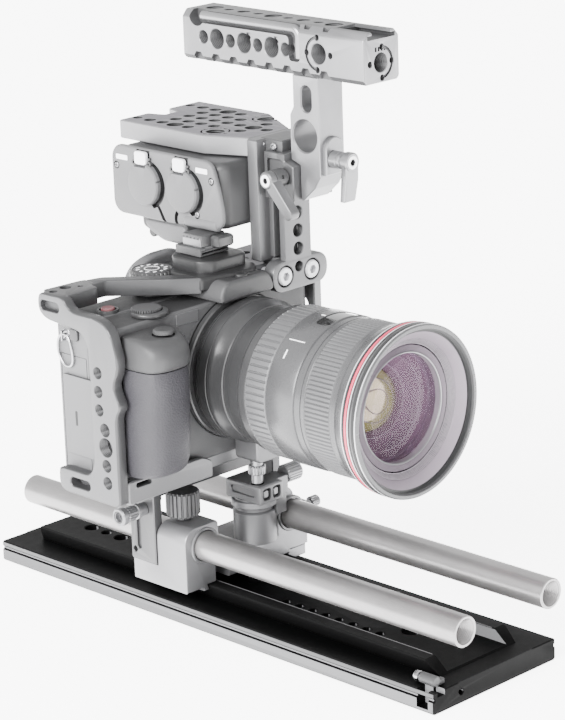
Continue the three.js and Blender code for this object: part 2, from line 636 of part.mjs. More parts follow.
function bracketPost() {
  const { front, x, half, top } = POST;
  const foot = prism('y', roundedRectangle(18.9, 57.2, 156.6, 172, 6.5), front, 12);
  const flange = block(x - half, x + half, front, 9, 170, top);
  const web = block(x - 3, x + 3, 8.5, 17, 170, top);
  const rear = block(21.6, 52.6, 16, 22.9, 171, top);
  const heel = block(22.4, 54.4, 11.5, 31.7, 160.6, 166);
  const knee = block(30, 45, 11.5, 22.9, 165.5, 172);
  const tools = BOLTS.flatMap((bolt) => [
    cylinder('y', [bolt, BOLT_Z], 6, front - 1, front + 3),
    cylinder('y', [bolt, BOLT_Z], 2.9, front - 1, 33, HOLE_SIDES),
  ]);
  for (const z of [167.6, 176.7, 185.9, 195]) {
    tools.push(cylinder('y', [x, z], 3.3, front - 1, 14, HOLE_SIDES));
  }
  return cut(join(foot, flange, web, rear, heel, knee), tools);
}

piece('bracket_post', bracketPost(), 'cageGrey');
BOLTS.forEach((bolt, i) => {
  const screw = join(
    cylinder('y', [bolt, BOLT_Z], 4.6, POST.front - 0.6, POST.front + 2.6, HOLE_SIDES),
    cylinder('y', [bolt, BOLT_Z], 2.5, POST.front + 2, 30, HOLE_SIDES),
  );
  const socket = cylinder('y', [bolt, BOLT_Z], 2.2, POST.front - 2, POST.front + 1.6, 6);
  piece(`bracket_screw_${i ? 'right' : 'left'}`, cut(screw, socket), 'steel');
});

function cheesePlate() {
  const { left, right, front, rear, bottom, top } = CHEESE;
  const outline = [
    [left, 46.4], [23.9, front], [51.8, front], [right, 55.4], [right, rear], [48.5, rear],
    [46, 98], [37, 98], [34, rear], [left, rear],
  ];
  const plate = prism('z', outline, bottom, top);
  const holes = [];
  const pins = [[24.8, 48], [60.4, 48]];
  const wide = [[60.6, 76.5], [23.8, 76.5], [42.3, 38.9]];
  for (let row = 0; row < 9; row += 1) {
    for (let column = 0; column < 5; column += 1) {
      const x = 23.8 + 9.2 * column;
      const y = 29.5 + 9.4 * row;
      const away = ([u, v]) => Math.hypot(x - u, y - v);
      const nearEdge = y < 30 && (x < 40 || x > 50);
      const nearNotch = y > 90 && x > 30 && x < 53;
      if (!nearEdge && !nearNotch && pins.every((pin) => away(pin) > 12)) {
        const radius = wide.some((hole) => away(hole) < 1) ? 3.6 : 2.5;
        holes.push(cylinder('z', [x, y], radius, bottom - 1, top + 1, 8));
      }
    }
  }
  for (const pin of pins) holes.push(cylinder('z', pin, 4.8, bottom - 1, top + 1, HOLE_SIDES));
  return cut(plate, holes);
}

piece('cheese_plate', cheesePlate(), 'plateGrey');

// ---------------------------------------------------------------- handle clamp and its levers

function handleClamp() {
  const { x, half } = POST;
  const outer = half + 4.6;
  const bridge = prism('x', [
    [-6.5, 204], [4.7, 204], [4.7, 227], [-0.4, 227], [-0.4, 223.6], [-6.5, 221.4],
  ], x - outer, x + outer);
  const arms = [-1, 1].flatMap((side) => {
    const wall = [x + side * (half + 0.4), x + side * outer].sort((a, b) => a - b);
    const hook = [x + side * 5, x + side * outer].sort((a, b) => a - b);
    return [
      block(wall[0], wall[1], 4, 13, 204, 227),
      block(hook[0], hook[1], 9.4, 13, 204, 227),
    ];
  });
  const sideRecess = prism('x', roundedRectangle(0.6, 11.4, 213.4, 223.8, 1.6), x - outer - 1, x - outer + 2);
  return cut(join(bridge, arms), sideRecess);
}

piece('handle_clamp', handleClamp(), 'cageGrey');

const LEFT_LEVER = [-0.6, 216.4];
piece('clamp_lever_left', join(
  cylinder('x', LEFT_LEVER, 4.4, 10.4, 14.4),
  cylinder('x', LEFT_LEVER, 3.4, 13, POST.x - POST.half - 4.9),
  link('x', LEFT_LEVER, [-14.2, 201.6], 4.2, 3.4, 10.9, 14.8),
), 'silver');
const RIGHT_LEVER = [35.5, 225.6];
piece('clamp_lever_right', join(
  cylinder('y', RIGHT_LEVER, 4.3, -29.4, -22.9),
  cylinder('y', RIGHT_LEVER, 4.9, -35.2, -31),
  cylinder('y', RIGHT_LEVER, 3.6, -31.4, -29),
  link('y', RIGHT_LEVER, [33.4, 210.6], 4.2, 3.8, -34.8, -31.4),
), 'silver');

function handlePost() {
  const { left, right, front, rear, neckRear } = ARM;
  const top = HANDLE.bottom - GAP;
  const outline = [
    [front, top], [front, 217.5], [-16.4, 211.4], [-8.5, 204.4], [-6.9, 204.4], [-6.9, 221.7],
    [rear, 223.9], [rear, 246], [neckRear, 250], [neckRear, top],
  ];
  const column = prism('x', outline, left, right);
  const arch = new THREE.Shape();
  arch.moveTo(30.6, 218);
  arch.lineTo(43, 218);
  arch.absarc(36.8, 230.2, 6.2, 0, Math.PI);
  const boss = prism('y', arch, front - 2.2, front + 1);
  const rodHole = cylinder('x', [-10.5, 236.4], 7.9, left - 1, right + 1);
  const slot = prism('x', roundedRectangle(-15.4, -8.8, 248.4, 261, 3.2), left - 1, right + 1);
  return cut(join(column, boss), rodHole, slot);
}

piece('handle_post', handlePost(), 'cageGrey');

// ---------------------------------------------------------------- top handle

function topHandle() {
  const { left, right, front, rear, bottom, top } = HANDLE;
  const middle = (left + right) / 2;
  const bar = prism('y', [
    [left + 1, bottom], [right - 1, bottom], [right, bottom + 1], [right, top - 3.4],
    [right - 3, top], [left + 3, top], [left, top - 3.4], [left, bottom + 1],
  ], front, rear);
  const tools = [];
  for (let i = 0; i < 7; i += 1) {
    tools.push(cylinder('x', [55.2 - 9.45 * i, 278], i % 2 ? 4.9 : 3.2, left - 1, right + 1, HOLE_SIDES));
  }
  for (let i = 0; i < 9; i += 1) {
    const radius = [4.6, 2.6, 3.4, 2.6][i % 4];
    tools.push(cylinder('z', [middle, 58.9 - 10.2 * i], radius, top - 6, top + 1, HOLE_SIDES));
  }
  tools.push(cylinder('x', [-23.5, 278.8], 4.8, left - 1, right + 1, HOLE_SIDES));
  tools.push(cylinder('y', [middle - 0.4, 275.7], 4.6, front - 1, front + 14, HOLE_SIDES));
  tools.push(block(middle - 9.4, middle + 9.4, front - 1, -30, top - 3.6, top - 1.5));
  tools.push(block(middle - 6.4, middle + 6.4, front - 1, -30, top - 3.6, top + 1));
  for (let i = 0; i < 8; i += 1) {
    tools.push(block(left - 1, left + 2.4, 57 - 12.3 * i, 61 - 12.3 * i, bottom - 1, bottom + 2));
    tools.push(block(right - 2.4, right + 1, 57 - 12.3 * i, 61 - 12.3 * i, bottom - 1, bottom + 2));
  }
  tools.push(block(left - 1, left + 1.2, -4, rear + 1, 284.6, 286));
  return cut(bar, tools);
}

piece('top_handle', topHandle(), 'cageGrey');

export default group;
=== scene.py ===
"""Cinema camera rig: the looks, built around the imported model.

Shapes are drawn in millimetres in the part's own frame, +Z up, -Y the way the lens points and -X the
side of the hand grip, and are scaled to metres as they are finished.
"""
import json
import math

import bpy
from mathutils import Matrix, Vector


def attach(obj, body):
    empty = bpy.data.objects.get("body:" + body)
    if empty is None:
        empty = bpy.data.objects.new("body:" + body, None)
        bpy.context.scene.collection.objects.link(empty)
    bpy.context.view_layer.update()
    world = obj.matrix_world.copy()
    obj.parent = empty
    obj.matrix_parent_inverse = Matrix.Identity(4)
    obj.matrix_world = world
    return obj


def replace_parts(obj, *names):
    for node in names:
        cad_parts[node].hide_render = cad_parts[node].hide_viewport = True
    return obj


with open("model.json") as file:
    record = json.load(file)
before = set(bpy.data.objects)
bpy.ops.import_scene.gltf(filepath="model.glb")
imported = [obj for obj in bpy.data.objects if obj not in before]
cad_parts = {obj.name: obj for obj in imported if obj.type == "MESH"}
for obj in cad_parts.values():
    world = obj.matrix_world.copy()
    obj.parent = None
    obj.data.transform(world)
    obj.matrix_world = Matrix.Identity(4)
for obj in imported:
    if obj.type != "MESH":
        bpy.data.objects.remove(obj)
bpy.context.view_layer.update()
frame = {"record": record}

MM = 0.001
SCENE = bpy.context.scene
BODY_OF = {node: body for body, nodes in frame["record"]["behaviour"]["bodies"].items() for node in nodes}

# Every solid carries these two until piece() puts its real materials in their slots.
OUTSIDE = bpy.data.materials.new("outside")
INSIDE = bpy.data.materials.new("inside")
LENS_Z = 124.4
ROD_X, ROD_Z, ROD_RADIUS = 30, 39.4, 7.5


# ------------------------------------------------------------------ outlines

def arc(cu, cv, radius, start, end, steps=8):
    angles = [math.radians(start + (end - start) * k / steps) for k in range(steps + 1)]
    return [(cu + radius * math.cos(a), cv + radius * math.sin(a)) for a in angles]


def circle(cu, cv, radius, steps=40):
    return arc(cu, cv, radius, 0, 360, steps)[:-1]


def rectangle(u0, u1, v0, v1):
    return [(u0, v0), (u1, v0), (u1, v1), (u0, v1)]


def soften(points, radius, steps=4):
    """The outline with each corner rounded, by as much of the radius as its two edges leave room for."""
    out = []
    for i, point in enumerate(points):
        p = Vector(point)
        back, on = Vector(points[i - 1]) - p, Vector(points[(i + 1) % len(points)]) - p
        start = p + back.normalized() * min(radius, back.length * 0.47)
        end = p + on.normalized() * min(radius, on.length * 0.47)
        for k in range(steps + 1):
            t = k / steps
            out.append(tuple((1 - t) ** 2 * start + 2 * t * (1 - t) * p + t * t * end))
    return out


def rounded(u0, u1, v0, v1, radius, steps=5):
    radius = min(radius, (u1 - u0) * 0.49, (v1 - v0) * 0.49)
    return (arc(u1 - radius, v0 + radius, radius, -90, 0, steps)
            + arc(u1 - radius, v1 - radius, radius, 0, 90, steps)
            + arc(u0 + radius, v1 - radius, radius, 90, 180, steps)
            + arc(u0 + radius, v0 + radius, radius, 180, 270, steps))


def stadium(start, end, start_radius, end_radius, steps=12):
    heading = math.degrees(math.atan2(end[1] - start[1], end[0] - start[0]))
    return (arc(*start, start_radius, heading + 90, heading + 270, steps)
            + arc(*end, end_radius, heading - 90, heading + 90, steps))


def inset(outline, depth):
    """The outline moved in from its edges, or out for a negative depth."""
    area = sum(a[0] * b[1] - b[0] * a[1] for a, b in zip(outline, outline[1:] + outline[:1]))
    way = 1 if area > 0 else -1
    moved = []
    for i, point in enumerate(outline):
        p = Vector(point)
        before = (p - Vector(outline[i - 1])).normalized()
        after = (Vector(outline[(i + 1) % len(outline)]) - p).normalized()
        inward = Vector((-(before.y + after.y), before.x + after.x)).normalized() * way
        across = max(0.35, inward.dot(Vector((-before.y, before.x)) * way))
        moved.append(tuple(p + inward * depth / across))
    return moved


# ------------------------------------------------------------------ solids

def solid(vertices, faces):
    mesh = bpy.data.meshes.new("solid")
    mesh.from_pydata(vertices, [], faces)
    mesh.validate()
    volume = 0.0
    for polygon in mesh.polygons:
        corners = [mesh.vertices[i].co for i in polygon.vertices]
        for k in range(1, len(corners) - 1):
            volume += corners[0].dot(corners[k].cross(corners[k + 1]))
    if volume < 0:
        mesh.flip_normals()
    mesh.materials.append(OUTSIDE)
    mesh.materials.append(INSIDE)
    obj = bpy.data.objects.new("solid", mesh)
    SCENE.collection.objects.link(obj)
    return obj


def at(axis, u, v, along):
    return {"x": (along, u, v), "y": (u, along, v), "z": (u, v, along)}[axis]


def loft(axis, sections):
    """A solid through outlines of equal length, each given with its place along the axis."""
    count = len(sections[0][0])
    vertices = [at(axis, u, v, along) for outline, along in sections for u, v in outline]
    faces = [list(range(count))[::-1], [len(vertices) - count + i for i in range(count)]]
    for s in range(len(sections) - 1):
        for i in range(count):
            a, b = s * count + i, s * count + (i + 1) % count
            faces.append([a, b, b + count, a + count])
    return solid(vertices, faces)


def slab(axis, outline, start, end, edge=0.0, steps=1):
    """An outline pushed along an axis, with its end edges chamfered, or rounded with more steps."""
    if not edge:
        return loft(axis, [(outline, start), (outline, end)])
    turns = [math.pi / 2 * k / steps for k in range(steps + 1)]
    low = [(inset(outline, edge * (1 - math.sin(t))), start + edge * (1 - math.cos(t))) for t in turns]
    high = [(shape, end - (along - start)) for shape, along in reversed(low)]
    return loft(axis, low + high)


def block(x0, x1, y0, y1, z0, z1, edge=0.4, axis="z"):
    low, high = {"x": ((y0, y1, z0, z1), (x0, x1)), "y": ((x0, x1, z0, z1), (y0, y1)),
                 "z": ((x0, x1, y0, y1), (z0, z1))}[axis]
    outline = rounded(*low, edge, 2) if edge else rectangle(*low)
    return slab(axis, outline, *high, edge * 0.8)


def pocket(axis, outline, start, end, lip=0.35):
    """A cutter that flares where it passes the surface at its start."""
    way = 1 if end > start else -1
    return loft(axis, [(inset(outline, -lip - 0.8), start - way * 0.8), (outline, start + way * lip),
                       (outline, end)])


def window(axis, outline, start, end, lip=0.4):
    """A cutter right through a wall, flared at both of its surfaces."""
    wide = inset(outline, -lip - 0.8)
    return loft(axis, [(wide, start - 0.8), (outline, start + lip), (outline, end - lip), (wide, end + 0.8)])


def turned(axis, centre, profile, sides=96, ring=False, wave=None):
    """Turns a profile of (radius, along) about an axis. A third value in a profile point says how much of
    the wave, a depth for each angle, is taken off its radius. A ring's profile closes on itself."""
    vertices, rows = [], []
    for radius, along, *share in profile:
        if radius < 1e-6:
            rows.append([len(vertices)])
            vertices.append(at(axis, centre[0], centre[1], along))
            continue
        rows.append(range(len(vertices), len(vertices) + sides))
        for k in range(sides):
            angle = 2 * math.pi * k / sides
            r = radius - (share[0] * wave(angle) if share else 0)
            vertices.append(at(axis, centre[0] + r * math.cos(angle), centre[1] + r * math.sin(angle), along))
    faces = []
    for low, high in list(zip(rows, rows[1:])) + ([(rows[-1], rows[0])] if ring else []):
        for k in range(sides):
            n = (k + 1) % sides
            if len(low) == 1 and len(high) > 1:
                faces.append([low[0], high[n], high[k]])
            elif len(high) == 1 and len(low) > 1:
                faces.append([low[k], low[n], high[0]])
            elif len(low) > 1:
                faces.append([low[k], low[n], high[n], high[k]])
    return solid(vertices, faces)


def cylinder(axis, centre, radius, start, end, edge=0.3, sides=64):
    way = edge if end > start else -edge
    return turned(axis, centre, [(0, start), (radius - edge, start), (radius, start + way),
                                 (radius, end - way), (radius - edge, end), (0, end)], sides)


def inside(obj):
    """Marks a cutter's faces, so that the walls it leaves take the darker inside material, painted shade."""
    obj.data.polygons.foreach_set("material_index", [1] * len(obj.data.polygons))
    return obj


def bore(axis, centre, radius, start, end, lip=0.35, through=True, pitch=0.0, sides=36):
    """A cutter for a hole from one surface to another, or to its bottom: countersunk, and tapped if it has
    a pitch."""
    way = 1 if end > start else -1
    profile = [(0, start - way), (radius + lip + 1, start - way), (radius, start + way * lip)]
    if pitch:
        for k in range(int((abs(end - start) - 2 * lip) / pitch)):
            groove = start + way * (lip + (k + 0.5) * pitch)
            profile += [(radius + 0.4, groove), (radius, groove + way * pitch / 2)]
    if through:
        profile += [(radius, end - way * lip * 0.9), (radius + lip + 1, end + way), (0, end + way)]
    else:
        profile += [(radius, end), (0, end)]
    tool = inside(turned(axis, centre, profile, sides))
    for polygon in tool.data.polygons[:2 * sides]:
        polygon.material_index = 0
    return tool


def ribs(count, depth, duty=0.5, edge=0.12):
    """A wave that sinks by the depth between ribs, which take up the duty share of each step."""
    def wave(angle):
        phase = (angle * count / (2 * math.pi)) % 1.0
        if phase < duty:
            return 0.0
        return depth * min(1.0, (phase - duty) / edge, (1.0 - phase) / edge)
    return wave


def knob(axis, centre, radius, start, end, count, depth=0.5, chamfer=0.6, core=0.0):
    """A turned knob with a ribbed rim and chamfered ends."""
    c = chamfer if end > start else -chamfer
    profile = [(core, start), (radius - chamfer, start), (radius, start + c, 1), (radius, end - c, 1),
               (radius - chamfer, end), (core, end)]
    return turned(axis, centre, profile, sides=count * 8, ring=core > 0, wave=ribs(count, depth))


def hexagon(cu, cv, across):
    return [(cu + across / 2 / math.cos(math.pi / 6) * math.cos(math.radians(60 * k)),
             cv + across / 2 / math.cos(math.pi / 6) * math.sin(math.radians(60 * k))) for k in range(6)]


def annular(cu, cv, inner, outer, start, end, steps=24):
    """A stretch of a flat ring."""
    return arc(cu, cv, outer, start, end, steps) + arc(cu, cv, inner, end, start, steps)


def flat(items):
    out = []
    for item in items:
        out.extend(flat(item) if isinstance(item, (list, tuple)) else [item])
    return out


def boolean(obj, tools, operation):
    for tool in tools:
        modifier = obj.modifiers.new("boolean", "BOOLEAN")
        modifier.operation = operation
        modifier.solver = "MANIFOLD"
        modifier.object = tool
    bpy.context.view_layer.update()
    shaped = obj.evaluated_get(bpy.context.evaluated_depsgraph_get())
    mesh = bpy.data.meshes.new_from_object(shaped)
    obj.modifiers.clear()
    obj.data = mesh
    for tool in tools:
        bpy.data.objects.remove(tool)
    return obj


def cut(obj, *tools):
    return boolean(obj, flat(tools), "DIFFERENCE")


def join(obj, *others):
    return boolean(obj, flat(others), "UNION")


def merge(*objects):
    """Several solids as one mesh, without joining their surfaces."""
    vertices, faces, sides = [], [], []
    for item in flat(objects):
        base = len(vertices)
        vertices += [tuple(v.co) for v in item.data.vertices]
        faces += [[base + i for i in polygon.vertices] for polygon in item.data.polygons]
        sides += [polygon.material_index for polygon in item.data.polygons]
        bpy.data.objects.remove(item)
    whole = solid(vertices, faces)
    whole.data.polygons.foreach_set("material_index", sides)
    return whole


def piece(obj, name, node, material, within=None, angle=30, replaces=True):
    """Finishes a solid drawn in millimetres as a piece that rides with its node's body.

    within is the material of the walls that inside() tools have cut, mostly darker as painted shade in holes
    and recesses, and angle, in degrees, is how sharply two faces meet where the shading stays crisp."""
    obj.name = obj.data.name = name
    obj.data.transform(Matrix.Scale(MM, 4))
    for polygon in obj.data.polygons:
        polygon.use_smooth = True
    obj.data.set_sharp_from_angle(angle=math.radians(angle))
    inner = [polygon.material_index for polygon in obj.data.polygons]
    obj.data.materials.clear()
    obj.data.materials.append(material)
    if within:
        obj.data.materials.append(within)
    obj.data.polygons.foreach_set("material_index", inner if within else [0] * len(inner))
    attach(obj, BODY_OF[node])
    if replaces:
        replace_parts(obj, node)
    return obj


def trim(obj, name, node, material, **options):
    return piece(obj, name, node, material, replaces=False, **options)


def round_curve(name, radius):
    """An empty curve that will be drawn as a round bar."""
    curve = bpy.data.curves.new(name, "CURVE")
    curve.dimensions = "3D"
    curve.bevel_depth = radius * MM
    curve.bevel_resolution = 6
    return curve


def curve_piece(curve, node, material):
    obj = bpy.data.objects.new(curve.name, curve)
    SCENE.collection.objects.link(obj)
    curve.materials.append(material)
    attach(obj, BODY_OF[node])
    return obj


# ------------------------------------------------------------------ materials

def surface(name, colour, roughness, metallic=0.0, grain=0.25, bump=0.12, mottle=0.06, streak=None,
            cells=0.0, edge=0.3, coat=0.0, gloss=0.5, side=None, top=None):
    """A shader with fine grain, broad colour variation, and brighter edges that are wear and painted
    highlight.

    grain is the size of the finest bumps in mm, streak stretches the grain along an axis, cells is the
    size in mm of a leathery pattern, gloss the specular level, and side and top are colours for the faces
    that look along X and along Z: painted light and shade, set lighter or darker for the light that falls
    on those faces."""
    material = bpy.data.materials.new(name)
    material.use_nodes = True
    nodes, links = material.node_tree.nodes, material.node_tree.links
    shader = nodes["Principled BSDF"]
    shader.inputs["Metallic"].default_value = metallic
    shader.inputs["Coat Weight"].default_value = coat
    shader.inputs["Specular IOR Level"].default_value = gloss
    coordinates = nodes.new("ShaderNodeTexCoord")
    place = coordinates.outputs["Object"]
    stretch = nodes.new("ShaderNodeMapping")
    stretch.inputs["Scale"].default_value = streak or (1, 1, 1)
    links.new(place, stretch.inputs["Vector"])

    def noise(scale, vector, detail=3.0):
        node = nodes.new("ShaderNodeTexNoise")
        node.inputs["Scale"].default_value = scale
        node.inputs["Detail"].default_value = detail
        links.new(vector, node.inputs["Vector"])
        return node.outputs["Fac"]

    def mix(factor, a, b):
        node = nodes.new("ShaderNodeMix")
        node.data_type = "RGBA"
        for socket, value in (("Factor", factor), ("A", a), ("B", b)):
            target = next(i for i in node.inputs if i.name == socket and i.enabled)
            if isinstance(value, bpy.types.NodeSocket):
                links.new(value, target)
            else:
                target.default_value = (*value, 1)
        return next(o for o in node.outputs if o.enabled)

    def ramp(value, low, high, top=1.0):
        node = nodes.new("ShaderNodeMapRange")
        node.inputs["From Min"].default_value = low
        node.inputs["From Max"].default_value = high
        node.inputs["To Max"].default_value = top
        links.new(value, node.inputs["Value"])
        return node.outputs["Result"]

    fine = noise(1 / (grain * MM), stretch.outputs["Vector"], 2.0)
    dark = [c * (1 - mottle) for c in colour]
    light = [min(1, c * (1 + mottle)) for c in colour]
    tone = mix(ramp(noise(45, place), 0.35, 0.65), dark, light)
    tone = mix(ramp(fine, 0.45, 0.8), tone, [min(1, c * 1.18) for c in colour])
    # Painted light and shade: faces that look along X take the side colour and faces that look along Z the
    # top colour.
    split = nodes.new("ShaderNodeSeparateXYZ")
    links.new(coordinates.outputs["Normal"], split.inputs[0])
    for direction, other in (("X", side), ("Z", top)):
        if other:
            size = nodes.new("ShaderNodeMath")
            size.operation = "ABSOLUTE"
            links.new(split.outputs[direction], size.inputs[0])
            painted_face_tone = mix(ramp(fine, 0.4, 0.7), other, [c * 0.85 for c in other])
            tone = mix(ramp(size.outputs[0], 0.97, 0.99), tone, painted_face_tone)
    # Brighter edges where the surface is pointy: partly wear, partly a painted edge highlight.
    if edge:
        worn_and_highlit_edge = nodes.new("ShaderNodeNewGeometry").outputs["Pointiness"]
        tone = mix(ramp(worn_and_highlit_edge, 0.53, 0.62, edge), tone, [min(1, c * 1.5 + 0.02) for c in colour])
    links.new(tone, shader.inputs["Base Color"])
    rough = nodes.new("ShaderNodeMapRange")
    rough.inputs["To Min"].default_value = max(0.02, roughness - 0.06)
    rough.inputs["To Max"].default_value = min(1.0, roughness + 0.08)
    links.new(noise(220, place), rough.inputs["Value"])
    links.new(rough.outputs["Result"], shader.inputs["Roughness"])
    height = fine
    if cells:
        pattern = nodes.new("ShaderNodeTexVoronoi")
        pattern.feature = "SMOOTH_F1"
        pattern.inputs["Scale"].default_value = 1 / (cells * MM)
        links.new(place, pattern.inputs["Vector"])
        height = pattern.outputs["Distance"]
    relief = nodes.new("ShaderNodeBump")
    relief.inputs["Strength"].default_value = bump
    relief.inputs["Distance"].default_value = (cells or grain) * MM * 0.5
    links.new(height, relief.inputs["Height"])
    links.new(relief.outputs["Normal"], shader.inputs["Normal"])
    return material


def grey(value, warmth=0.0):
    return (value * (1 + warmth), value, value * (1 + 0.03 - warmth))


# BLACK paints light grey on the faces that look along X: a painted reflection of the bright light on the
# plate's sides.
BLACK = surface("black_anodised", grey(0.0012), 0.42, 0.0, 0.3, 0.15, 0.1, edge=0.25, gloss=0.03,
                side=grey(0.125))
BAND = surface("dull_band", grey(0.05), 0.45, 0.2, 0.3, 0.1, gloss=0.3)
SILVER = surface("silver_anodised", grey(0.19), 0.3, 0.75, 0.2, 0.08)
# LIGHT paints shade on the faces that look up. CAGE paints light on the faces that look along X.
LIGHT = surface("light_anodised", grey(0.165), 0.36, 0.7, 0.22, 0.1, edge=0.5, top=grey(0.095))
CAGE = surface("cage_anodised", grey(0.05), 0.36, 0.6, 0.22, 0.1, edge=0.6, side=grey(0.115))
GREY = surface("grey_anodised", grey(0.10), 0.38, 0.6, 0.22, 0.1, edge=0.5)
MID = surface("mid_anodised", grey(0.058), 0.36, 0.55, 0.22, 0.1, edge=0.6)
DARKGREY = surface("dark_anodised", grey(0.045), 0.4, 0.4, 0.22, 0.12, gloss=0.3, edge=0.5)
# PLATE paints light on the faces that look along X and shade on the faces that look up.
PLATE = surface("plate_anodised", grey(0.14), 0.42, 0.5, 0.22, 0.12, edge=0.4, side=grey(0.18),
                top=(0.108, 0.102, 0.118))
ROD = surface("rod_aluminium", grey(0.25, 0.03), 0.32, 0.85, 0.2, 0.06, streak=(1, 0.05, 1))
# BRACKET paints light on the faces that look along X.
BRACKET = surface("bracket_anodised", grey(0.085), 0.36, 0.6, 0.22, 0.1, edge=0.5, side=grey(0.15))
STEEL = surface("bright_steel", grey(0.36), 0.2, 1.0, 0.2, 0.03)
# CAMERA paints light on the faces that look along X and shade on the faces that look up. CASE paints shade on
# the faces that look up.
CAMERA = surface("camera_body", grey(0.045), 0.5, 0.0, 0.3, 0.3, 0.08, gloss=0.25, side=grey(0.115),
                 top=grey(0.02))
CASE = surface("camera_case", grey(0.032), 0.45, 0.0, 0.3, 0.3, 0.08, gloss=0.3, top=grey(0.02))
CENTRE = surface("cage_centre", grey(0.014), 0.34, 0.1, 0.25, 0.1, gloss=0.3)
TRIM = surface("camera_trim", grey(0.022), 0.32, 0.0, 0.25, 0.15, gloss=0.45)
GRIP = surface("grip_rubber", (0.0245, 0.0235, 0.027), 0.5, 0.0, 0.3, 0.5, 0.08, cells=0.8, edge=0.1,
               gloss=0.25)
RUBBER = surface("ring_rubber", grey(0.08), 0.42, 0.15, 0.3, 0.25, 0.06, edge=0.4, gloss=0.35)
BARREL = surface("lens_barrel", grey(0.07), 0.27, 0.4, 0.22, 0.15, 0.06, edge=0.3, gloss=0.5)
ADAPTER = surface("lens_adapter", grey(0.024), 0.3, 0.1, 0.22, 0.1, 0.06, edge=0.4, gloss=0.4)
BAFFLE = surface("lens_baffle", (0.14, 0.118, 0.14), 0.45, 0.0, 0.3, 0.1, 0.05, edge=0.2, gloss=0.3)
STRIPE = surface("lens_stripe", grey(0.02), 0.42, 0.0, 0.22, 0.1, 0.06, edge=0, gloss=0.2)
DEEP = surface("lens_inside", (0.1, 0.072, 0.092), 0.5, 0.0, 0.3, 0.1, 0.05, edge=0.2, gloss=0.3)
RECORD = surface("record_red", (0.12, 0.045, 0.05), 0.35, 0.0, 0.2, 0.05, 0.05)
RED = surface("accent_red", (0.42, 0.03, 0.07), 0.35, 0.0, 0.2, 0.05, 0.05, coat=0.2)
AUDIO = surface("audio_case", grey(0.026), 0.42, 0.0, 0.35, 0.35, 0.06, edge=0.15, gloss=0.35)
# Painted light: PANEL is a lighter copy of the audio case's black plastic, for the light that the unit's -X
# side catches.
PANEL = surface("audio_panel", grey(0.095), 0.46, 0.0, 0.35, 0.3, 0.05, edge=0.25, gloss=0.3)
WHITE = surface("tab_white", grey(0.75), 0.35, 0.0, 0.2, 0.03, 0.02)
SCREEN = surface("screen_glass", grey(0.004), 0.08, 0.0, 0.2, 0.01, 0.05, coat=1.0)
BATTERY = surface("battery_plastic", grey(0.01), 0.5, 0.0, 0.3, 0.2)
WHITESTEEL = surface("pale_steel", grey(0.5), 0.35, 0.3, 0.2, 0.05)
GREEN = surface("coated_inner_glass", (0.2, 0.23, 0.08), 0.08, 0.3, 0.2, 0.0, 0.3, coat=0.4, edge=0)
# HOLLOW and DARK paint the shade in holes and recesses on the walls that inside() cuts. DARK is also the real
# colour of the filter thread.
HOLLOW = surface("hollow_dark_and_painted_shade", grey(0.055), 0.4, 0.4, 0.2, 0.1, gloss=0.3)
DARK = surface("deep_dark_and_painted_shade", grey(0.026), 0.42, 0.2, 0.2, 0.1, gloss=0.3)


def lens_glass(name, tint):
    """Clear glass with a coloured coating."""
    material = surface(name, tint, 0.04, grain=4.0, bump=0.0, mottle=0.02, edge=0, gloss=0.4)
    shader = material.node_tree.nodes["Principled BSDF"]
    shader.inputs["Transmission Weight"].default_value = 1.0
    shader.inputs["IOR"].default_value = 1.12
    return material


GLASS = lens_glass("coated_glass", (0.86, 0.74, 0.84))




# ------------------------------------------------------------------ dovetail plate

def dovetail_plate():
    half = [(42, 0), (43, 1), (43, 6.2), (42.1, 6.9), (42.1, 7.7), (42.7, 8.4), (42.7, 10.3), (42.1, 10.9),
            (26.4, 10.9), (28, 17), (27.7, 17.5), (27.2, 17.8)]
    outline = half + [(-x, z) for x, z in reversed(half)]
    bar = slab("y", outline, -152.4, 152.4, 0.5)
    slope = slab("x", [(-154, 10.9), (-141.9, 10.9), (-132.3, 18.8), (-154, 18.8)], -30, 30)
    rear = block(-30, 30, 138.4, 154, 10.9, 19, edge=0)
    channel = pocket("z", rounded(-20.8, 20.8, -160, 42, 3), 17.8, 11.7, 0.5)
    holes = [bore("z", (x, y), 2.7 if y == 104.7 else 3.8, 17.8, 0, 0.5) for y in (93.3, 104.7, 116.2)
             for x in (-11.3, 11.3)]
    holes += [bore("z", (-8, -24 - 9 * i), 2.2, 11.7, 6, 0.3, through=False) for i in range(8)]
    holes += [bore("z", (4, y), 4.8, 11.7, 0, 0.4) for y in (-96, 10)]
    holes += [block(-44, -37, -149, -142, 2, 12, edge=0),
              bore("y", (-24, 6), 1.6, -152.4, -146, through=False)]
    holes.append(slab("y", rectangle(-40.2, -35.2, 8.2, 12), -154, -147))
    piece(cut(bar, slope, rear, channel, holes), "dovetail_plate_skin", "dovetail_plate", BLACK)
    bands = [block(*sorted((side * 42.4, side * 42.85)), -152, 152, 8.5, 10.3, edge=0.1) for side in (-1, 1)]
    trim(merge(bands), "dovetail_plate_bands", "dovetail_plate", BAND)
    # Thin lighter rods along the rails' inner top edges: partly the bare machined chamfer, partly a painted
    # edge highlight.
    lines = [slab("y", circle(side * 20.9, 17.7, 0.22, 12), -132, 42) for side in (-1, 1)]
    trim(merge(lines), "dovetail_rail_bare_and_highlit_edges", "dovetail_plate", MID)


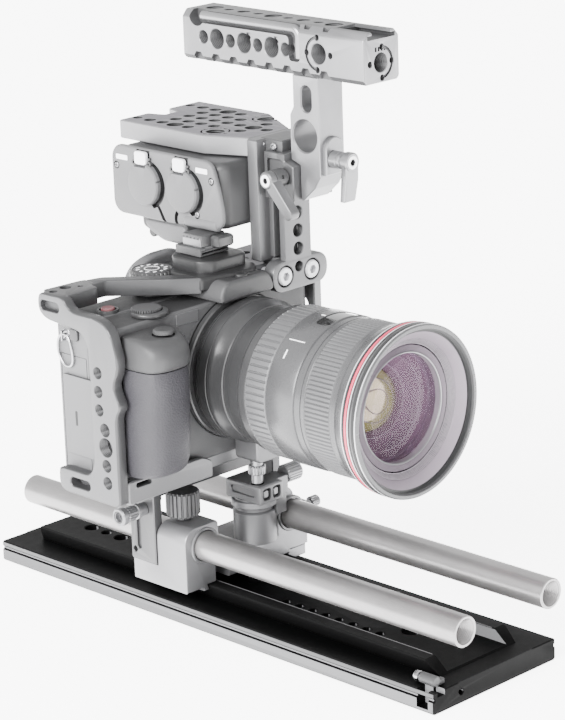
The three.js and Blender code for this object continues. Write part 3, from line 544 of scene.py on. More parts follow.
def stop_lever():
    x, z = -36.8, 13.9
    bar = turned("y", (x, z), [(0, -149), (2.1, -149), (2.6, -148.5), (2.6, -140.3), (2.3, -139.8),
                               (1.6, -139.8), (1.6, -143.5), (0, -143.5)], 48)
    tail = block(x, x + 6.2, -148.4, -145.6, 11.2, 13.9)
    piece(join(bar, tail), "stop_lever_skin", "stop_lever", DARKGREY)
    button = turned("y", (x, z), [(0, -142.6), (1.3, -142.6), (1.3, -138.9), (2.2, -138.9), (2.6, -138.5),
                                  (2.6, -137), (2.2, -136.3), (0, -136.3)], 48)
    piece(button, "stop_button_skin", "stop_button", STEEL)


dovetail_plate()
stop_lever()


# ------------------------------------------------------------------ bridge, rods and riser

def bridge():
    crown = 7.5
    outline = ([(-43, 17.3), (-31.8, 17.3), (-31.2, 15.4), (-28, 15.4), (-28.9, 18.3), (28.9, 18.3),
                (28.9, 20), (41.6, 20)] + arc(41.6 - crown, 49.8 - crown, crown, 0, 90)
               + [(21.3, 49.8), (20.3, 48.8), (20.3, 30), (-20.3, 30), (-20.3, 48.8), (-21.3, 49.8)]
               + arc(crown - 43, 49.8 - crown, crown, 90, 180))
    body = slab("y", outline, 9.5, 48, 0.8, 2)
    tools = [block(-44, 44, 29.6, 49, 27.5, 51, edge=0), block(-23.5, -14.2, 8, 21, 15, 31, edge=0),
             block(19.3, 43, 8, 19, 43, 51, edge=0)]
    for side in (-1, 1):
        tools.append(bore("y", (side * ROD_X, ROD_Z), ROD_RADIUS + 0.35, 9.5, 29.6, 0.5, sides=72))
        tools.append(block(*sorted((side * 19.3, side * 24)), 8, 31, 38.6, 40.2, edge=0))
    body = cut(body, tools)
    collars = [turned("y", (side * ROD_X, ROD_Z), [(8.0, 8.6), (8.9, 8.6), (9.3, 9), (9.3, 11), (8.0, 11)],
                      72, ring=True) for side in (-1, 1)]
    piece(body, "bridge_skin", "bridge_block", LIGHT, HOLLOW)
    trim(merge(collars), "bridge_collars", "bridge_block", GREY)
    jaw = slab("y", [(27.7, 15.4), (30.8, 13.8), (41.4, 13.8), (41.4, 19.6), (29, 19.6), (29, 18)],
               11, 46, 0.5)
    piece(jaw, "dovetail_jaw_skin", "dovetail_jaw", LIGHT)
    hub = turned("x", (27, 16.6), [(0, 41.8), (4.2, 41.8), (4.6, 42.2), (4.6, 50.5), (4.1, 51), (2, 51),
                                   (2, 49.6), (0, 49.6)], 64)
    arm = slab("x", stadium((27, 16.6), (58, 19), 4.55, 3.2), 46.5, 50.9, 0.5)
    piece(join(hub, arm), "jaw_lever_skin", "jaw_lever", SILVER)


def rods():
    length, depth = 299.2, 14
    for name, side in (("rod_left", -1), ("rod_right", 1)):
        end = [(7.1, 0), (6.2, 0), (5.9, 0.4)]
        for k in range(depth):
            end += [(5.9, 0.6 + k), (5.4, 1.1 + k)]
        end += [(5.9, 15.2), (0, 16.2)]
        front = [(r, -160.8 + y) for r, y in reversed(end)]
        rear = [(r, -160.8 + length - y) for r, y in end]
        profile = front + [(7.5, -160.4), (7.5, 138)] + rear
        piece(turned("y", (side * ROD_X, ROD_Z), profile, 96), name + "_skin", name, ROD)


def bridge_knobs():
    left = merge(knob("z", (-30, 24), 8.5, 52.4, 65, 22, 0.9, 0.8), cylinder("z", (-30, 24), 4, 50.1, 52.4))
    piece(left, "rod_knob_left_skin", "rod_knob_left", DARKGREY)
    right = merge(knob("x", (13, 39.4), 2.9, 47, 52.4, 14, 0.3, 0.4),
                  cylinder("x", (13, 39.4), 1.8, 41.9, 47))
    piece(right, "rod_knob_right_skin", "rod_knob_right", SILVER)
    y, z = 37.2, 56
    head = turned("x", (y, z), [(0, -58.8), (2.4, -58.8), (2.4, -60.6), (2.8, -61), (4.0, -61), (4.6, -60.4),
                                (4.6, -57.7), (4.2, -57.2), (3.3, -57.2), (3.3, -44.3), (0, -44.3)], 64)
    head = cut(head, slab("x", hexagon(y, z, 2.4), -62, -57.5))
    collar = knob("x", (y, z), 3.8, -56.4, -51.5, 16, 0.35, 0.4, core=3.0)
    ring = turned("x", (y, z), [(3.1, -50.4), (3.9, -50.1), (3.9, -48.6), (3.1, -48.3)], 48, ring=True)
    piece(merge(head, collar, ring), "riser_knob_skin", "riser_knob", SILVER)
    piece_ring = turned("x", (y, z), [(2.5, -60.9), (3.1, -60.9), (3.1, -61.0), (2.5, -61.0)], 48, ring=True)
    trim(piece_ring, "riser_knob_ring", "riser_knob", HOLLOW)


def riser():
    outline = [(-44, 27.8), (-38.4, 27.8), (-38.4, 61), (38.4, 61), (38.4, 27.8), (44, 27.8), (44, 73.7),
               (-44, 73.7)]
    frame_solid = slab("y", soften(outline, 1.2, 2), 30.2, 48, 0.5)
    tools = [block(-38.4, 38.4, 29, 33.5, 60, 75, edge=0)]
    tools += [pocket("x", rounded(40.5, 43.5, 34, 56, 1.4), side * 44, side * 42.6) for side in (-1, 1)]
    tools += [bore("x", (45.2, z), 1.5, -44, -41.5, through=False) for z in (33, 66)]
    piece(cut(frame_solid, tools), "base_riser_skin", "base_riser", MID, DARK)


bridge()
rods()
bridge_knobs()
riser()


# ------------------------------------------------------------------ lens support

def lens_support():
    body = block(0, 16, 0, 25, 53.4, 63, edge=0.8)
    post = turned("z", (9.6, 14.5), [(0, 30.3), (10.6, 30.3), (11, 30.7), (11, 46.4), (10.4, 47), (9.6, 47.4),
                                     (9.6, 49), (10.2, 49.4), (10.2, 54), (0, 54)], 96)
    collar = turned("z", (9.6, 14.5), [(8, 49.6), (11.2, 49.6), (11.7, 50), (11.7, 52.6), (11.2, 53),
                                       (8, 53)], 96, ring=True)
    tools = [pocket("x", rounded(4, 21, 56.9, 60.3, 1.6), 0, 0.9)]
    for x0, x1 in ((2.2, 7.2), (8.9, 13.9)):
        tools.append(inside(pocket("y", rounded(x0, x1, 55.5, 61.2, 1.4), 0, 1.6)))
    tools.append(bore("z", (4.5, 6.5), 3.3, 63, 58.8, through=False))
    body = cut(join(body, post, block(15, 23.5, 4, 13, 53.4, 63), block(15, 21.9, 4, 13, 44, 54)), tools)
    insets = [slab("y", rounded(x0 + 1, x1 - 1, 56.5, 60.2, 1), 0.5, 2, 0.3)
              for x0, x1 in ((2.2, 7.2), (8.9, 13.9))]
    piece(body, "lens_support_skin", "lens_support", GREY, DARK)
    trim(merge(insets, collar), "lens_support_trim", "lens_support", LIGHT)
    side = merge(knob("x", (8, 62), 4.8, 24, 34, 20, 0.5, 0.7),
                 turned("x", (8, 62), [(1, 33.9), (2.6, 33.9), (2.6, 34), (1, 34)], 40, ring=True))
    piece(side, "support_side_knob_skin", "support_side_knob", SILVER)
    screw = merge(cylinder("z", (4.5, 6.5), 3, 63.3, 77), knob("z", (4.5, 6.5), 4.4, 68, 72.5, 18, 0.4, 0.5))
    piece(screw, "support_screw_skin", "support_screw", SILVER)
    saddle = slab("y", rounded(-5, 15, 77.3, 92, 3), -4, 11.8, 0.6)
    groove = turned("y", (0, LENS_Z), [(0, -6), (38, -6), (36.4, -3.2), (36.4, 11), (38, 14), (0, 14)], 128)
    piece(cut(saddle, groove), "support_pad_skin", "support_pad", GREY)


lens_support()


# ------------------------------------------------------------------ cage

def cage_left():
    x0, x1 = -85, -79.2
    outline = [(7.4, 74), (7.4, 119.8), (3.6, 124.4), (6.6, 130), (8.4, 135.3), (5, 141), (4.4, 148),
               (8.3, 160.1), (13, 164.6), (19.7, 166.3), (34, 166.2), (38.4, 168), (41.4, 172.3),
               (57.4, 172.3), (59.8, 169.9), (59.8, 163), (54.8, 159.4), (44, 158.4), (30, 157.4),
               (25.4, 152), (24.5, 135), (24.8, 94), (28, 86.3), (50.4, 86.3), (51.4, 84), (51.4, 77),
               (48, 74)]
    wall = slab("x", soften(outline, 4), x0, x1, 1.0, 3)
    corner = slab("z", soften([(x1 - 2, 42), (-62, 42), (-60.5, 48), (-57, 50), (-56.4, 57.4), (-60, 58.5),
                               (x1 - 2, 59.8)], 1.2), 164.2, 172.3, 0.6, 2)
    arm = slab("z", soften([(-61.6, 47.6), (-52, 48), (-30.4, 24), (-19.6, 14.5), (-19.6, 24.6),
                            (-48, 54.5), (-52, 56), (-57.6, 57)], 1.2), 164.3, 172.2, 0.5, 2)
    holes = [(18.8, 139.4, 2.8), (18.9, 130.1, 2.8), (18.9, 121, 2.8), (15.6, 111.7, 3.2), (15.6, 103, 4.6),
             (15.6, 93.8, 3), (15.6, 85.2, 3)]
    tools = [bore("x", (y, z), r, x0, x1, 0.25, pitch=1.0, sides=32) for y, z, r in holes]
    tools.append(inside(window("x", rounded(28.6, 43, 78, 82.6, 2.2), x0, x1)))
    tools.append(inside(pocket("x", rounded(44.4, 57.8, 163.8, 168.6, 2), x0, x0 + 3)))
    for x, y, r in ((-72, 54, 2.8), (-80.5, 53, 2), (-66, 50, 1.3), (-47, 49, 1.8)):
        tools.append(bore("z", (x, y), r, 172.3, 168.8, 0.25, through=False))
    piece(cut(join(wall, corner), tools), "cage_left_skin", "cage_left", CAGE, MID)
    trim(arm, "cage_left_arm", "cage_left", DARKGREY)


def cage_base():
    x0, x1 = -78.9, 54.2
    floor = slab("z", soften([(x0, 7.6), (-24, 7.6), (-20, 17), (x1, 17), (x1, 50), (x0, 50)], 1.5),
                 74, 80.7, 0.5)
    lip = slab("y", soften([(x0, 74), (-24, 74), (-24, 82.4), (-30, 85.4), (x0, 85.4)], 2), 7.6, 10.8, 0.6)
    tools = [window("y", rounded(-74, -64, 81.6, 84, 1.1), 7.6, 10.8, 0.2)]
    tools += [bore("z", (x, 28), 3.2, 80.7, 74) for x in (-60, -46, -32, 6, 20)]
    piece(cut(join(floor, lip), tools), "cage_base_skin", "cage_base", GREY, HOLLOW)


def cage_right():
    wall = slab("x", rounded(12.4, 54, 74, 168, 4), 54.5, 60, 0.6)
    opening = window("x", rounded(17, 46, 92, 146, 5), 54.5, 60)
    bar = block(23.5, 55.5, 32, 54, 160.6, 168, edge=0.6)
    holes = [bore("z", (x, y), 2.6, 168, 160.6, 0.3) for x in (29.2, 38.2, 47) for y in (36, 44)]
    holes += [bore("x", (y, z), 2.6, 54.5, 60, 0.3) for y in (19, 28, 37, 46) for z in (84, 155)]
    piece(cut(join(wall, bar), opening, holes), "cage_right_skin", "cage_right", PLATE, DARK)
    bridge_top = slab("z", soften([(-21, 14.6), (-11, 11.6), (-4, 9), (8, 8), (14, 11), (17.4, 16),
                                   (17.4, 42), (-16, 42), (-21, 36), (-21, 26)], 2.4, 4),
                      165.2, 172.2, 1.4, 4)
    ribs_front = [slab("z", circle(u, v, r, 32), 163.8, z, 1, 3)
                  for u, v, r, z in ((-5, 10, 3, 170.6), (0.6, 8.4, 3.4, 171.6), (7, 9.2, 3.2, 171))]
    trim(merge(bridge_top, ribs_front), "cage_top_bridge", "cage_left", CENTRE)
    tie = block(8, 30, 20, 43, 163.6, 168.4, edge=0.6)
    trim(cut(tie, bore("z", (20.4, 36), 2.4, 168.4, 163.6, 0.3)), "cage_top_tie", "cage_right", PLATE,
         within=HOLLOW)


cage_left()
cage_base()
cage_right()


# ------------------------------------------------------------------ camera

def camera_shells():
    front = slab("z", [(-78, 33), (-78, 12.5)] + arc(44, 22.5, 10, -90, 0) + [(54, 33)], 81.3, 160, 1.6, 4)
    mount = turned("y", (0, LENS_Z), [(0, 11), (36.5, 11), (36.5, 13.4), (34.6, 14), (22, 14), (22, 27),
                                      (0, 27)], 128)
    seams = [slab("x", rectangle(12, 34, 154.4, 154.8), -79, -77.6),
             pocket("y", rounded(-46, -38.6, 93, 113, 3), 12.5, 13.2, 0.3)]
    piece(cut(front, mount, seams), "camera_front_skin", "camera_front_shell", CAMERA, DARK)
    release = turned("y", (-38.6, 118), [(0, 11.4), (3.4, 11.4), (4.1, 11.9), (4.1, 13.2), (0, 13.2)], 48)
    socket = turned("y", (-38.6, 118), [(4.6, 12.4), (5.2, 11.9), (5.9, 12.4), (5.9, 13), (4.6, 13)], 48,
                    ring=True)
    small = turned("y", (-39.6, 100), [(0, 11.9), (2.2, 11.9), (2.6, 12.2), (2.6, 13.2), (0, 13.2)], 40)
    trim(merge(release, socket, small), "camera_front_buttons", "camera_front_shell", TRIM)
    rear = slab("z", [(54, 33.2)] + arc(48, 50, 6, 0, 90) + arc(-75, 53, 3, 90, 180) + [(-78, 33.2)],
                81.3, 160, 1.6, 4)
    well = bore("z", (-58.6, 39.4), 4, 160, 158.6, 0.2, through=False)
    seams = [slab("x", rectangle(y, y + 0.5, 84, 141), -79, -77.7) for y in (34.2, 52.4)]
    seams.append(slab("x", rectangle(34.2, 57, 141.4, 141.8), -79, -77.7))
    piece(cut(rear, well, seams), "camera_rear_skin", "camera_rear_shell", CAMERA, DARK)
    lug = cut(block(-81.2, -77, 47.8, 48.6, 148.6, 154, edge=0.3),
              bore("y", (-79.2, 151.5), 1.6, 47.8, 48.6, 0.15))
    boss = turned("x", (48.2, 151.4), [(0, -78.4), (2.2, -78.4), (3, -78), (3.4, -77), (0, -77)], 40)
    trim(merge(lug, boss), "strap_lug", "camera_rear_shell", STEEL)
    keeper = slab("x", rounded(38.6, 44.4, 149.4, 155.6, 1.8), -79.6, -77.8, 0.6, 3)
    trim(keeper, "strap_keeper", "camera_rear_shell", MID)


def camera_grip():
    def outline(front, shrink):
        x0, x1, back = -77.6 + shrink, -46 - shrink, 12.2
        return [(x1, back), (x0, back), (x0, back - (back - front) * 0.45), (x0 + 1, front + 5),
                (x0 + 5, front + 1.2), (x0 + 12, front), (x0 + 20, front + 0.4), (x0 + 26, front + 4),
                (x0 + 29, front + 12)]
    levels = [(87.8, -2, 1.2), (88.6, -6, 0.6), (91, -9, 0.2), (96, -11.2, 0), (104, -12.2, 0),
              (112, -12.7, 0), (122, -13.1, 0), (132, -13.4, 0), (138, -13.2, 0), (141.4, -12.2, 0.3)]
    body = loft("z", [(soften(outline(front, shrink), 4, 4), z) for z, front, shrink in levels])
    piece(body, "camera_grip_skin", "camera_grip", GRIP, angle=60)
    crown = [(141.6, -11.6, 0.8), (142.2, -13, 0.2), (144, -14.2, 0), (148, -14.6, 0), (151, -14, 0),
             (153.6, -11.8, 0.3), (155.4, -8.6, 0.9), (156.4, -5.2, 1.6)]
    top = loft("z", [(soften(outline(front, shrink), 5, 4), z) for z, front, shrink in crown])
    well = bore("z", (-60, -1), 5.5, 156.8, 155.2, 0.3, through=False)
    trim(cut(top, well), "camera_grip_crown", "camera_grip", CASE, angle=50)


def viewfinder():
    outline = [(-18.2, 160.3), (18.2, 160.3), (17, 166), (13.6, 170.4), (-13.6, 170.4), (-17, 166)]
    hood = slab("y", soften(outline, 3), 3, 43.6, 1.6, 3)
    waist = [block(-20, -11.5, 32, 45, 159, 179, edge=0), block(11.5, 20, 32, 45, 159, 179, edge=0)]
    piece(cut(hood, waist), "viewfinder_skin", "viewfinder_housing", CASE)
    base = [(-15, 22), (-10, 16), (12, 16), (15, 22), (15, 42), (-12, 43.6), (-15, 40)]
    pedestal = slab("z", soften(base, 3, 4), 168, 178.1, 1, 3)
    trim(pedestal, "viewfinder_crown", "viewfinder_housing", CENTRE)
    dome = [(-26, 160.2), (-25.4, 166), (-20, 171.6), (-10, 174.6), (6, 174.6), (13, 170), (14, 160.2)]
    trim(slab("y", soften(dome, 5, 5), 58.4, 65.6, 2.4, 5), "eyepiece_hood", "eyecup", LIGHT)
    trim(block(-9, 11, 43, 59, 160.3, 169, edge=1.2), "eyepiece_neck", "eyecup", CASE)
    cup = slab("y", rounded(-18, 18, 141, 159.6, 5), 56.3, 66, 1.6, 3)
    hollow = pocket("y", rounded(-12.5, 12.5, 145, 155.8, 3), 66, 59)
    piece(cut(cup, hollow), "eyecup_skin", "eyecup", GRIP)
    shoe = cut(block(-9.6, 9.6, 25.6, 43.4, 178.3, 182.4), block(-8.4, 8.4, 25, 42.4, 179.4, 181.4, edge=0),
               block(-6.4, 6.4, 25, 42.4, 179.4, 183, edge=0))
    piece(shoe, "hot_shoe_skin", "hot_shoe", DARKGREY)


def camera_controls():
    x, y = -22.8, 46.6
    dial = turned("z", (x, y), [(0, 163.7), (10.6, 163.7), (11.2, 164.3, 1), (11.2, 171, 1), (10.4, 172.1),
                                (9.8, 172.4), (9.2, 172.0), (0, 172.0)], 30 * 8, wave=ribs(30, 0.5))
    piece(dial, "mode_dial_skin", "mode_dial", TRIM)
    crown = turned("z", (x, y), [(0, 171.9), (9.0, 171.9), (9.0, 172.25), (8.6, 172.4), (0, 172.4)], 64)
    trim(crown, "mode_dial_crown", "mode_dial", DARKGREY)
    marks = []
    for k in range(12):
        angle = math.radians(30 * k)
        u, v = x + 7 * math.cos(angle), y + 7 * math.sin(angle)
        size = (1.5, 0.8) if k % 3 else (0.9, 0.9)
        marks.append(block(u - size[0] * 0.7, u + size[0] * 0.7, v - size[1] * 0.6, v + size[1] * 0.6,
                           172.2, 172.5, edge=0.1))
    marks.append(turned("z", (x, y), [(3.4, 172.3), (3.4, 172.5), (3.8, 172.5), (3.8, 172.3)], 40, ring=True))
    trim(merge(marks), "mode_dial_marks", "mode_dial", WHITE)
    lever = join(cylinder("z", (x, y), 9.6, 160.3, 163.4),
                 slab("z", stadium((x, y), (-14.4, 35.8), 3, 1.6), 161, 163.4, 0.3))
    piece(lever, "power_lever_skin", "power_lever", TRIM)
    piece(knob("z", (-50, 21.4), 7.4, 160.3, 163.4, 36, 0.6, 0.4), "front_dial_skin", "front_dial", DARKGREY)
    hood = slab("z", [(-58.6, 23)] + arc(-50, 19.4, 9.4, 190, 350, 20) + [(-41.4, 23)], 160.1, 162.2, 0.7, 3)
    hood = cut(hood, cylinder("z", (-50, 21.4), 7.8, 159, 164, 0))
    trim(hood, "front_dial_hood", "camera_front_shell", TRIM)
    badge = soften([(-39.5, 153), (-25.2, 152.6), (-25.2, 158.6), (-39.5, 158.6)], 0.6)
    trim(slab("y", badge, 12.1, 12.7, 0.2), "badge_plate", "camera_front_shell", GREY)
    shutter = turned("z", (-60, -1), [(0, 156.9), (4.8, 156.9), (5, 157.1), (5, 158.4), (4.4, 159),
                                      (3, 159.2), (0, 158.8)], 64)
    piece(shutter, "shutter_button_skin", "shutter_button", CASE)
    record = turned("z", (-58.6, 39.4), [(0, 160.3), (3.4, 160.3), (3.4, 161.6), (3, 162), (0, 161.8)], 64)
    piece(record, "record_button_skin", "record_button", RECORD)
    rim = turned("z", (-58.6, 39.4), [(4.1, 160), (5.4, 160), (5.2, 161.2), (4.3, 161.2)], 64, ring=True)
    trim(rim, "record_button_rim", "camera_rear_shell", TRIM)
    piece(slab("x", rounded(27.6, 51, 92, 132, 1.5), -79.5, -78.3, 0.25), "card_door_skin", "card_door",
          CAMERA)
    trim(slab("x", rounded(41.5, 43, 107, 114.4, 0.5), -79.65, -79.3, 0.1), "card_door_slit", "card_door",
         STRIPE)


def strap_ring():
    corners = [(0, 0.2), (-4.8, -6.4), (-2.6, -15.4), (5.2, -7)]
    curve = round_curve("strap_ring_skin", 0.65)
    curve.resolution_u = 16
    spline = curve.splines.new("BEZIER")
    spline.bezier_points.add(len(corners) - 1)
    for point, (y, z) in zip(spline.bezier_points, corners):
        point.co = Vector((-79.2, 48.2 + y, 151.6 + z)) * MM
        point.handle_left_type = point.handle_right_type = "AUTO"
    spline.use_cyclic_u = True
    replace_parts(curve_piece(curve, "strap_ring", STEEL), "strap_ring")


def camera_back():
    panel = slab("y", rounded(-22, 47, 93, 138, 2), 56.5, 60.8, 0.5)
    piece(join(panel, cylinder("z", (48.6, 58.9), 1.85, 93, 138)), "screen_skin", "screen", CAMERA)
    trim(slab("y", rounded(-19.5, 44, 96, 135, 1), 60.5, 60.85, 0.1), "screen_glass", "screen", SCREEN)
    piece(slab("x", rounded(18, 48, 88, 132, 2), -71, -52, 0.5), "battery_skin", "battery", BATTERY)
    sensor = cut(block(-24, 24, 26, 46, 104, 145, axis="y"),
                 pocket("y", rounded(-18, 18, 111, 138, 1), 26, 28))
    piece(sensor, "sensor_block_skin", "sensor_block", BATTERY)


camera_shells()
camera_grip()
viewfinder()
camera_controls()
strap_ring()
camera_back()


# ------------------------------------------------------------------ lens

def lens_ring(profile, sides=192, wave=None):
    return turned("y", (0, LENS_Z), profile, sides, ring=True, wave=wave)


def lens_adapter():
    ring = lens_ring([(23, -11.7), (33.4, -11.7), (33.8, -11.2), (34, -8.4), (35.2, -5.2), (35.6, -4.4),
                      (35.6, -2.4), (35.3, -2.2), (35.3, -1.8), (35.6, -1.6), (35.6, 3.6), (35.2, 4.4),
                      (34.6, 5.4), (34.6, 6), (33.4, 8), (33, 8.6), (33, 12.2), (23, 12.2)])
    piece(ring, "lens_adapter_skin", "lens_adapter", ADAPTER)
    flange = lens_ring([(33.2, 9.2), (35.4, 9.2), (36, 9.8), (36, 12.3), (33.2, 12.3)])
    trim(flange, "lens_mount_flange", "lens_adapter", TRIM)


def lens_barrels():
    core = lens_ring([(30.6, -86.4), (33.2, -86.4), (33.2, -29.5), (36, -29.5), (36.4, -29.1), (36.4, -25.4),
                      (35.8, -24.6), (35.2, -23.4), (35.2, -22.9), (34.6, -22.4), (34.4, -22), (34.4, -16),
                      (34, -15.2), (33.4, -12), (24, -12), (24, -16), (30.6, -22)])
    piece(core, "lens_barrel_skin", "lens_barrel", ADAPTER)
    sleeve = lens_ring([(33.5, -69.4), (36.9, -69.4), (37.2, -69), (37.2, -67.4), (36.8, -67.2),
                        (36.8, -66.8), (37.2, -66.6), (37.2, -63.4), (36.9, -63.1), (36.9, -62.7),
                        (37.5, -62.4), (37.8, -61.6), (37.8, -45.4), (37.4, -44.5), (33.5, -44.5)], 256)
    window_space = slab("z", rounded(-12, 12, -62, -53.4, 2.2), 150, 164)
    shallow = turned("y", (0, LENS_Z), [(0, -64), (37.2, -64), (37.2, -50), (0, -50)], 192)
    piece(cut(sleeve, cut(window_space, shallow)), "middle_barrel_skin", "middle_barrel", BARREL)
    pane = turned("y", (0, LENS_Z), [(0, -61.8), (37.5, -61.8), (37.5, -53.6), (0, -53.6)], 256)
    frame_space = slab("z", rounded(-11.8, 11.8, -61.8, -53.6, 2), 150, 164)
    trim(boolean(pane, [frame_space], "INTERSECT"), "distance_window", "middle_barrel", SCREEN)
    front = lens_ring([(39.6, -107), (40.9, -107), (41.3, -106.7), (41.4, -106.2), (41.4, -105.2),
                       (41.1, -105), (41.1, -104.6), (41.4, -104.4), (41.4, -102), (41.1, -101.6),
                       (40.2, -101.4), (40.2, -97.5), (41, -97.1), (41, -96.7), (40, -93.4), (39.6, -93.2),
                       (39.4, -92.4), (38.9, -90.6), (38.5, -90.2), (38.4, -88.6), (38, -88.2), (38, -86.7),
                       (30.6, -86.7), (30.6, -97.4), (30.9, -97.8), (37.6, -103.6), (39, -104),
                       (39.2, -106.4), (39.3, -106.8)], 256)
    piece(front, "front_barrel_skin", "front_barrel", BARREL)
    accent = lens_ring([(40.5, -100.1), (41.2, -100.1), (41.4, -99.9), (41.4, -99.0), (41.2, -98.8),
                        (40.5, -98.8)], 256)
    piece(accent, "accent_ring_skin", "accent_ring", RED)


def lens_front_trim():
    cone = [(37.4, -103.9), (33.8, -100.7)]
    for k in range(6):
        cone += [(33.6 - 0.45 * k, -100.2 - 0.1 + 0.4 * k), (33.4 - 0.45 * k, -99.9 + 0.4 * k)]
    cone += [(30.7, -97.9), (30.7, -96.8), (37.4, -103)]
    trim(lens_ring(cone), "lens_front_cone", "front_barrel", BAFFLE)
    thread = [(39.5, -106.7)]
    for k in range(5):
        thread += [(39.05, -106.3 + 0.5 * k), (38.6, -106.05 + 0.5 * k)]
    thread += [(38.6, -103.9), (37.5, -103.8), (37.5, -103.4), (39.4, -103.4)]
    trim(lens_ring(thread), "lens_filter_thread", "front_barrel", DARK)
    rim = lens_ring([(39.3, -106.5), (39.6, -106.85), (40.8, -106.98), (40.8, -106.9), (39.7, -106.75),
                     (39.45, -106.4)])
    trim(rim, "lens_front_rim", "front_barrel", SILVER)
    lines = [lens_ring([(r, y - 0.3), (r + 0.14, y - 0.2), (r + 0.14, y + 0.2), (r, y + 0.3)])
             for r, y in ((40.95, -96.9), (41.38, -101.2), (41.38, -105.7))]
    trim(merge(lines), "lens_bright_lines", "front_barrel", WHITESTEEL)
    bands = [lens_ring([(41, -105.2), (41.5, -105.1), (41.5, -103.5), (41, -103.4)]),
             lens_ring([(41, -102.7), (41.48, -102.6), (41.48, -101.8), (41, -101.7)]),
             lens_ring([(40.9, -98.6), (41.3, -98.5), (41.1, -97.3), (40.9, -97.3)])]
    trim(merge(bands), "lens_dark_bands", "front_barrel", STRIPE)


def lens_rings():
    zoom = lens_ring([(33.5, -44.2), (36.6, -44.2), (37, -43.8), (37.3, -43.4), (37.4, -43, 1),
                      (37.4, -31, 1), (37.3, -30.6), (37, -30.2), (36.6, -29.8), (33.5, -29.8)], 70 * 10,
                      ribs(70, 0.9, 0.6, 0.12))
    piece(zoom, "zoom_ring_skin", "zoom_ring", RUBBER)
    focus = lens_ring([(33.5, -86.4), (37.1, -86.4), (37.4, -86.1), (37.7, -85.8), (37.8, -85.4, 1),
                       (37.8, -70.7, 1), (37.7, -70.3), (37.4, -70), (37.1, -69.7), (33.5, -69.7)], 110 * 8,
                      ribs(110, 0.75, 0.5, 0.2))
    piece(focus, "focus_ring_skin", "focus_ring", RUBBER)


def front_optics():
    bezel = [(30.2, -96.6)]
    for k in range(6):
        bezel += [(30 - 0.55 * k, -97.5 + 0.05 * k), (29.75 - 0.55 * k, -97.1 + 0.05 * k)]
    bezel += [(26.6, -97.2), (26.3, -96.8), (26.3, -88.4), (25, -88.4), (25, -85), (30.2, -85)]
    piece(lens_ring(bezel), "front_group_skin", "front_group", BAFFLE)
    ring = lens_ring([(26.1, -96.9), (26.3, -97.5), (26.7, -97.7), (27, -97.4), (26.7, -96.9)])
    trim(ring, "front_group_ring", "front_group", SILVER)
    dome = [(0, -88.9), (12, -89.6), (20, -91), (26.1, -93)]
    for i in range(1, 25):
        radius = 26.1 * math.cos(math.pi / 2 * i / 24)
        dome.append((radius if i < 24 else 0, -94 - 4.2 * (1 - (radius / 26.1) ** 2)))
    piece(turned("y", (0, LENS_Z), dome, 128), "front_element_skin", "front_element", GLASS)
    funnel = [(24.8, -87.6)]
    for k in range(4):
        funnel += [(24.2 - 2.3 * k, -86.6 + 2.1 * k), (22.8 - 2.3 * k, -85.4 + 2.1 * k)]
    funnel += [(14.8, -77.2), (14.8, -76.5), (25.6, -76.5), (25.6, -87.6)]
    trim(lens_ring(funnel), "lens_funnel", "front_group", DEEP)
    collars = [lens_ring([(r, y), (r + 0.35, y - 0.3), (r + 0.7, y)])
               for r, y in ((21.6, -85.6), (16.2, -80.6))]
    trim(merge(collars), "lens_collars", "front_group", BAFFLE)
    inner = [(0, -76.6)] + [(14.8 * math.sin(math.pi / 2 * i / 16),
                             -77 - 5.4 * math.cos(math.pi / 2 * i / 16))
                            for i in range(16, 0, -1)] + [(0, -82.4)]
    trim(turned("y", (0, LENS_Z), inner, 96), "lens_inner_glass", "front_group", GREEN)
    small = [lens_ring([(r, y), (r + 0.25, y - 0.25), (r + 0.5, y)]) for r, y in ((9.4, -81.2), (5.2, -82))]
    trim(merge(small), "lens_inner_rings", "front_group", PANEL)


def lens_marks():
    """Blank scale marks on the barrel: an index line, a window and a dash."""
    marks = []
    for angle, y0, y1, width in ((96, -53, -50.5, 0.5), (140, -51, -50.2, 3.4), (128, -58, -48, 0.35)):
        u, v = math.radians(angle - width), math.radians(angle + width)
        shape = [(36 * math.cos(u), LENS_Z + 36 * math.sin(u)),
                 (37.95 * math.cos(u), LENS_Z + 37.95 * math.sin(u)),
                 (37.95 * math.cos(v), LENS_Z + 37.95 * math.sin(v)),
                 (36 * math.cos(v), LENS_Z + 36 * math.sin(v))]
        marks.append(slab("y", shape, y0, y1))
    trim(merge(marks), "lens_marks", "middle_barrel", WHITE)


lens_adapter()
lens_barrels()
lens_front_trim()
lens_rings()
front_optics()
lens_marks()
# ------------------------------------------------------------------ audio unit

AUDIO_INPUTS = (("front", 46.6, 206.4), ("rear", 74.3, 206.2))
PANEL_SCREWS = ((95.8, 212.9), (27.1, 213.9), (38.1, 195.7))


def audio_body():
    shell = slab("z", rounded(4.3, 62, 23.5, 99, 7, 8), 188.5, 221.9, 4, 6)
    outline = [(49, 192), (49, 179.6), (53.5, 177), (67.5, 177), (71.5, 178.6), (79, 181.6), (82.4, 183),
               (83, 192)]
    neck = slab("x", soften(outline, 2.4, 4), 4.3, 22, 1.8, 4)
    piece(join(shell, neck), "audio_body_skin", "audio_unit_body", AUDIO)
    # The cheek takes PANEL, the case plastic with painted light.
    cheek = slab("x", soften([(50, 187), (50, 180), (54, 177.8), (67, 177.8), (71, 179.4), (78, 182.4),
                              (80, 187)], 2.4, 4), 3.4, 6, 1.2, 3)
    trim(cheek, "audio_neck_cheek", "audio_unit_body", PANEL)


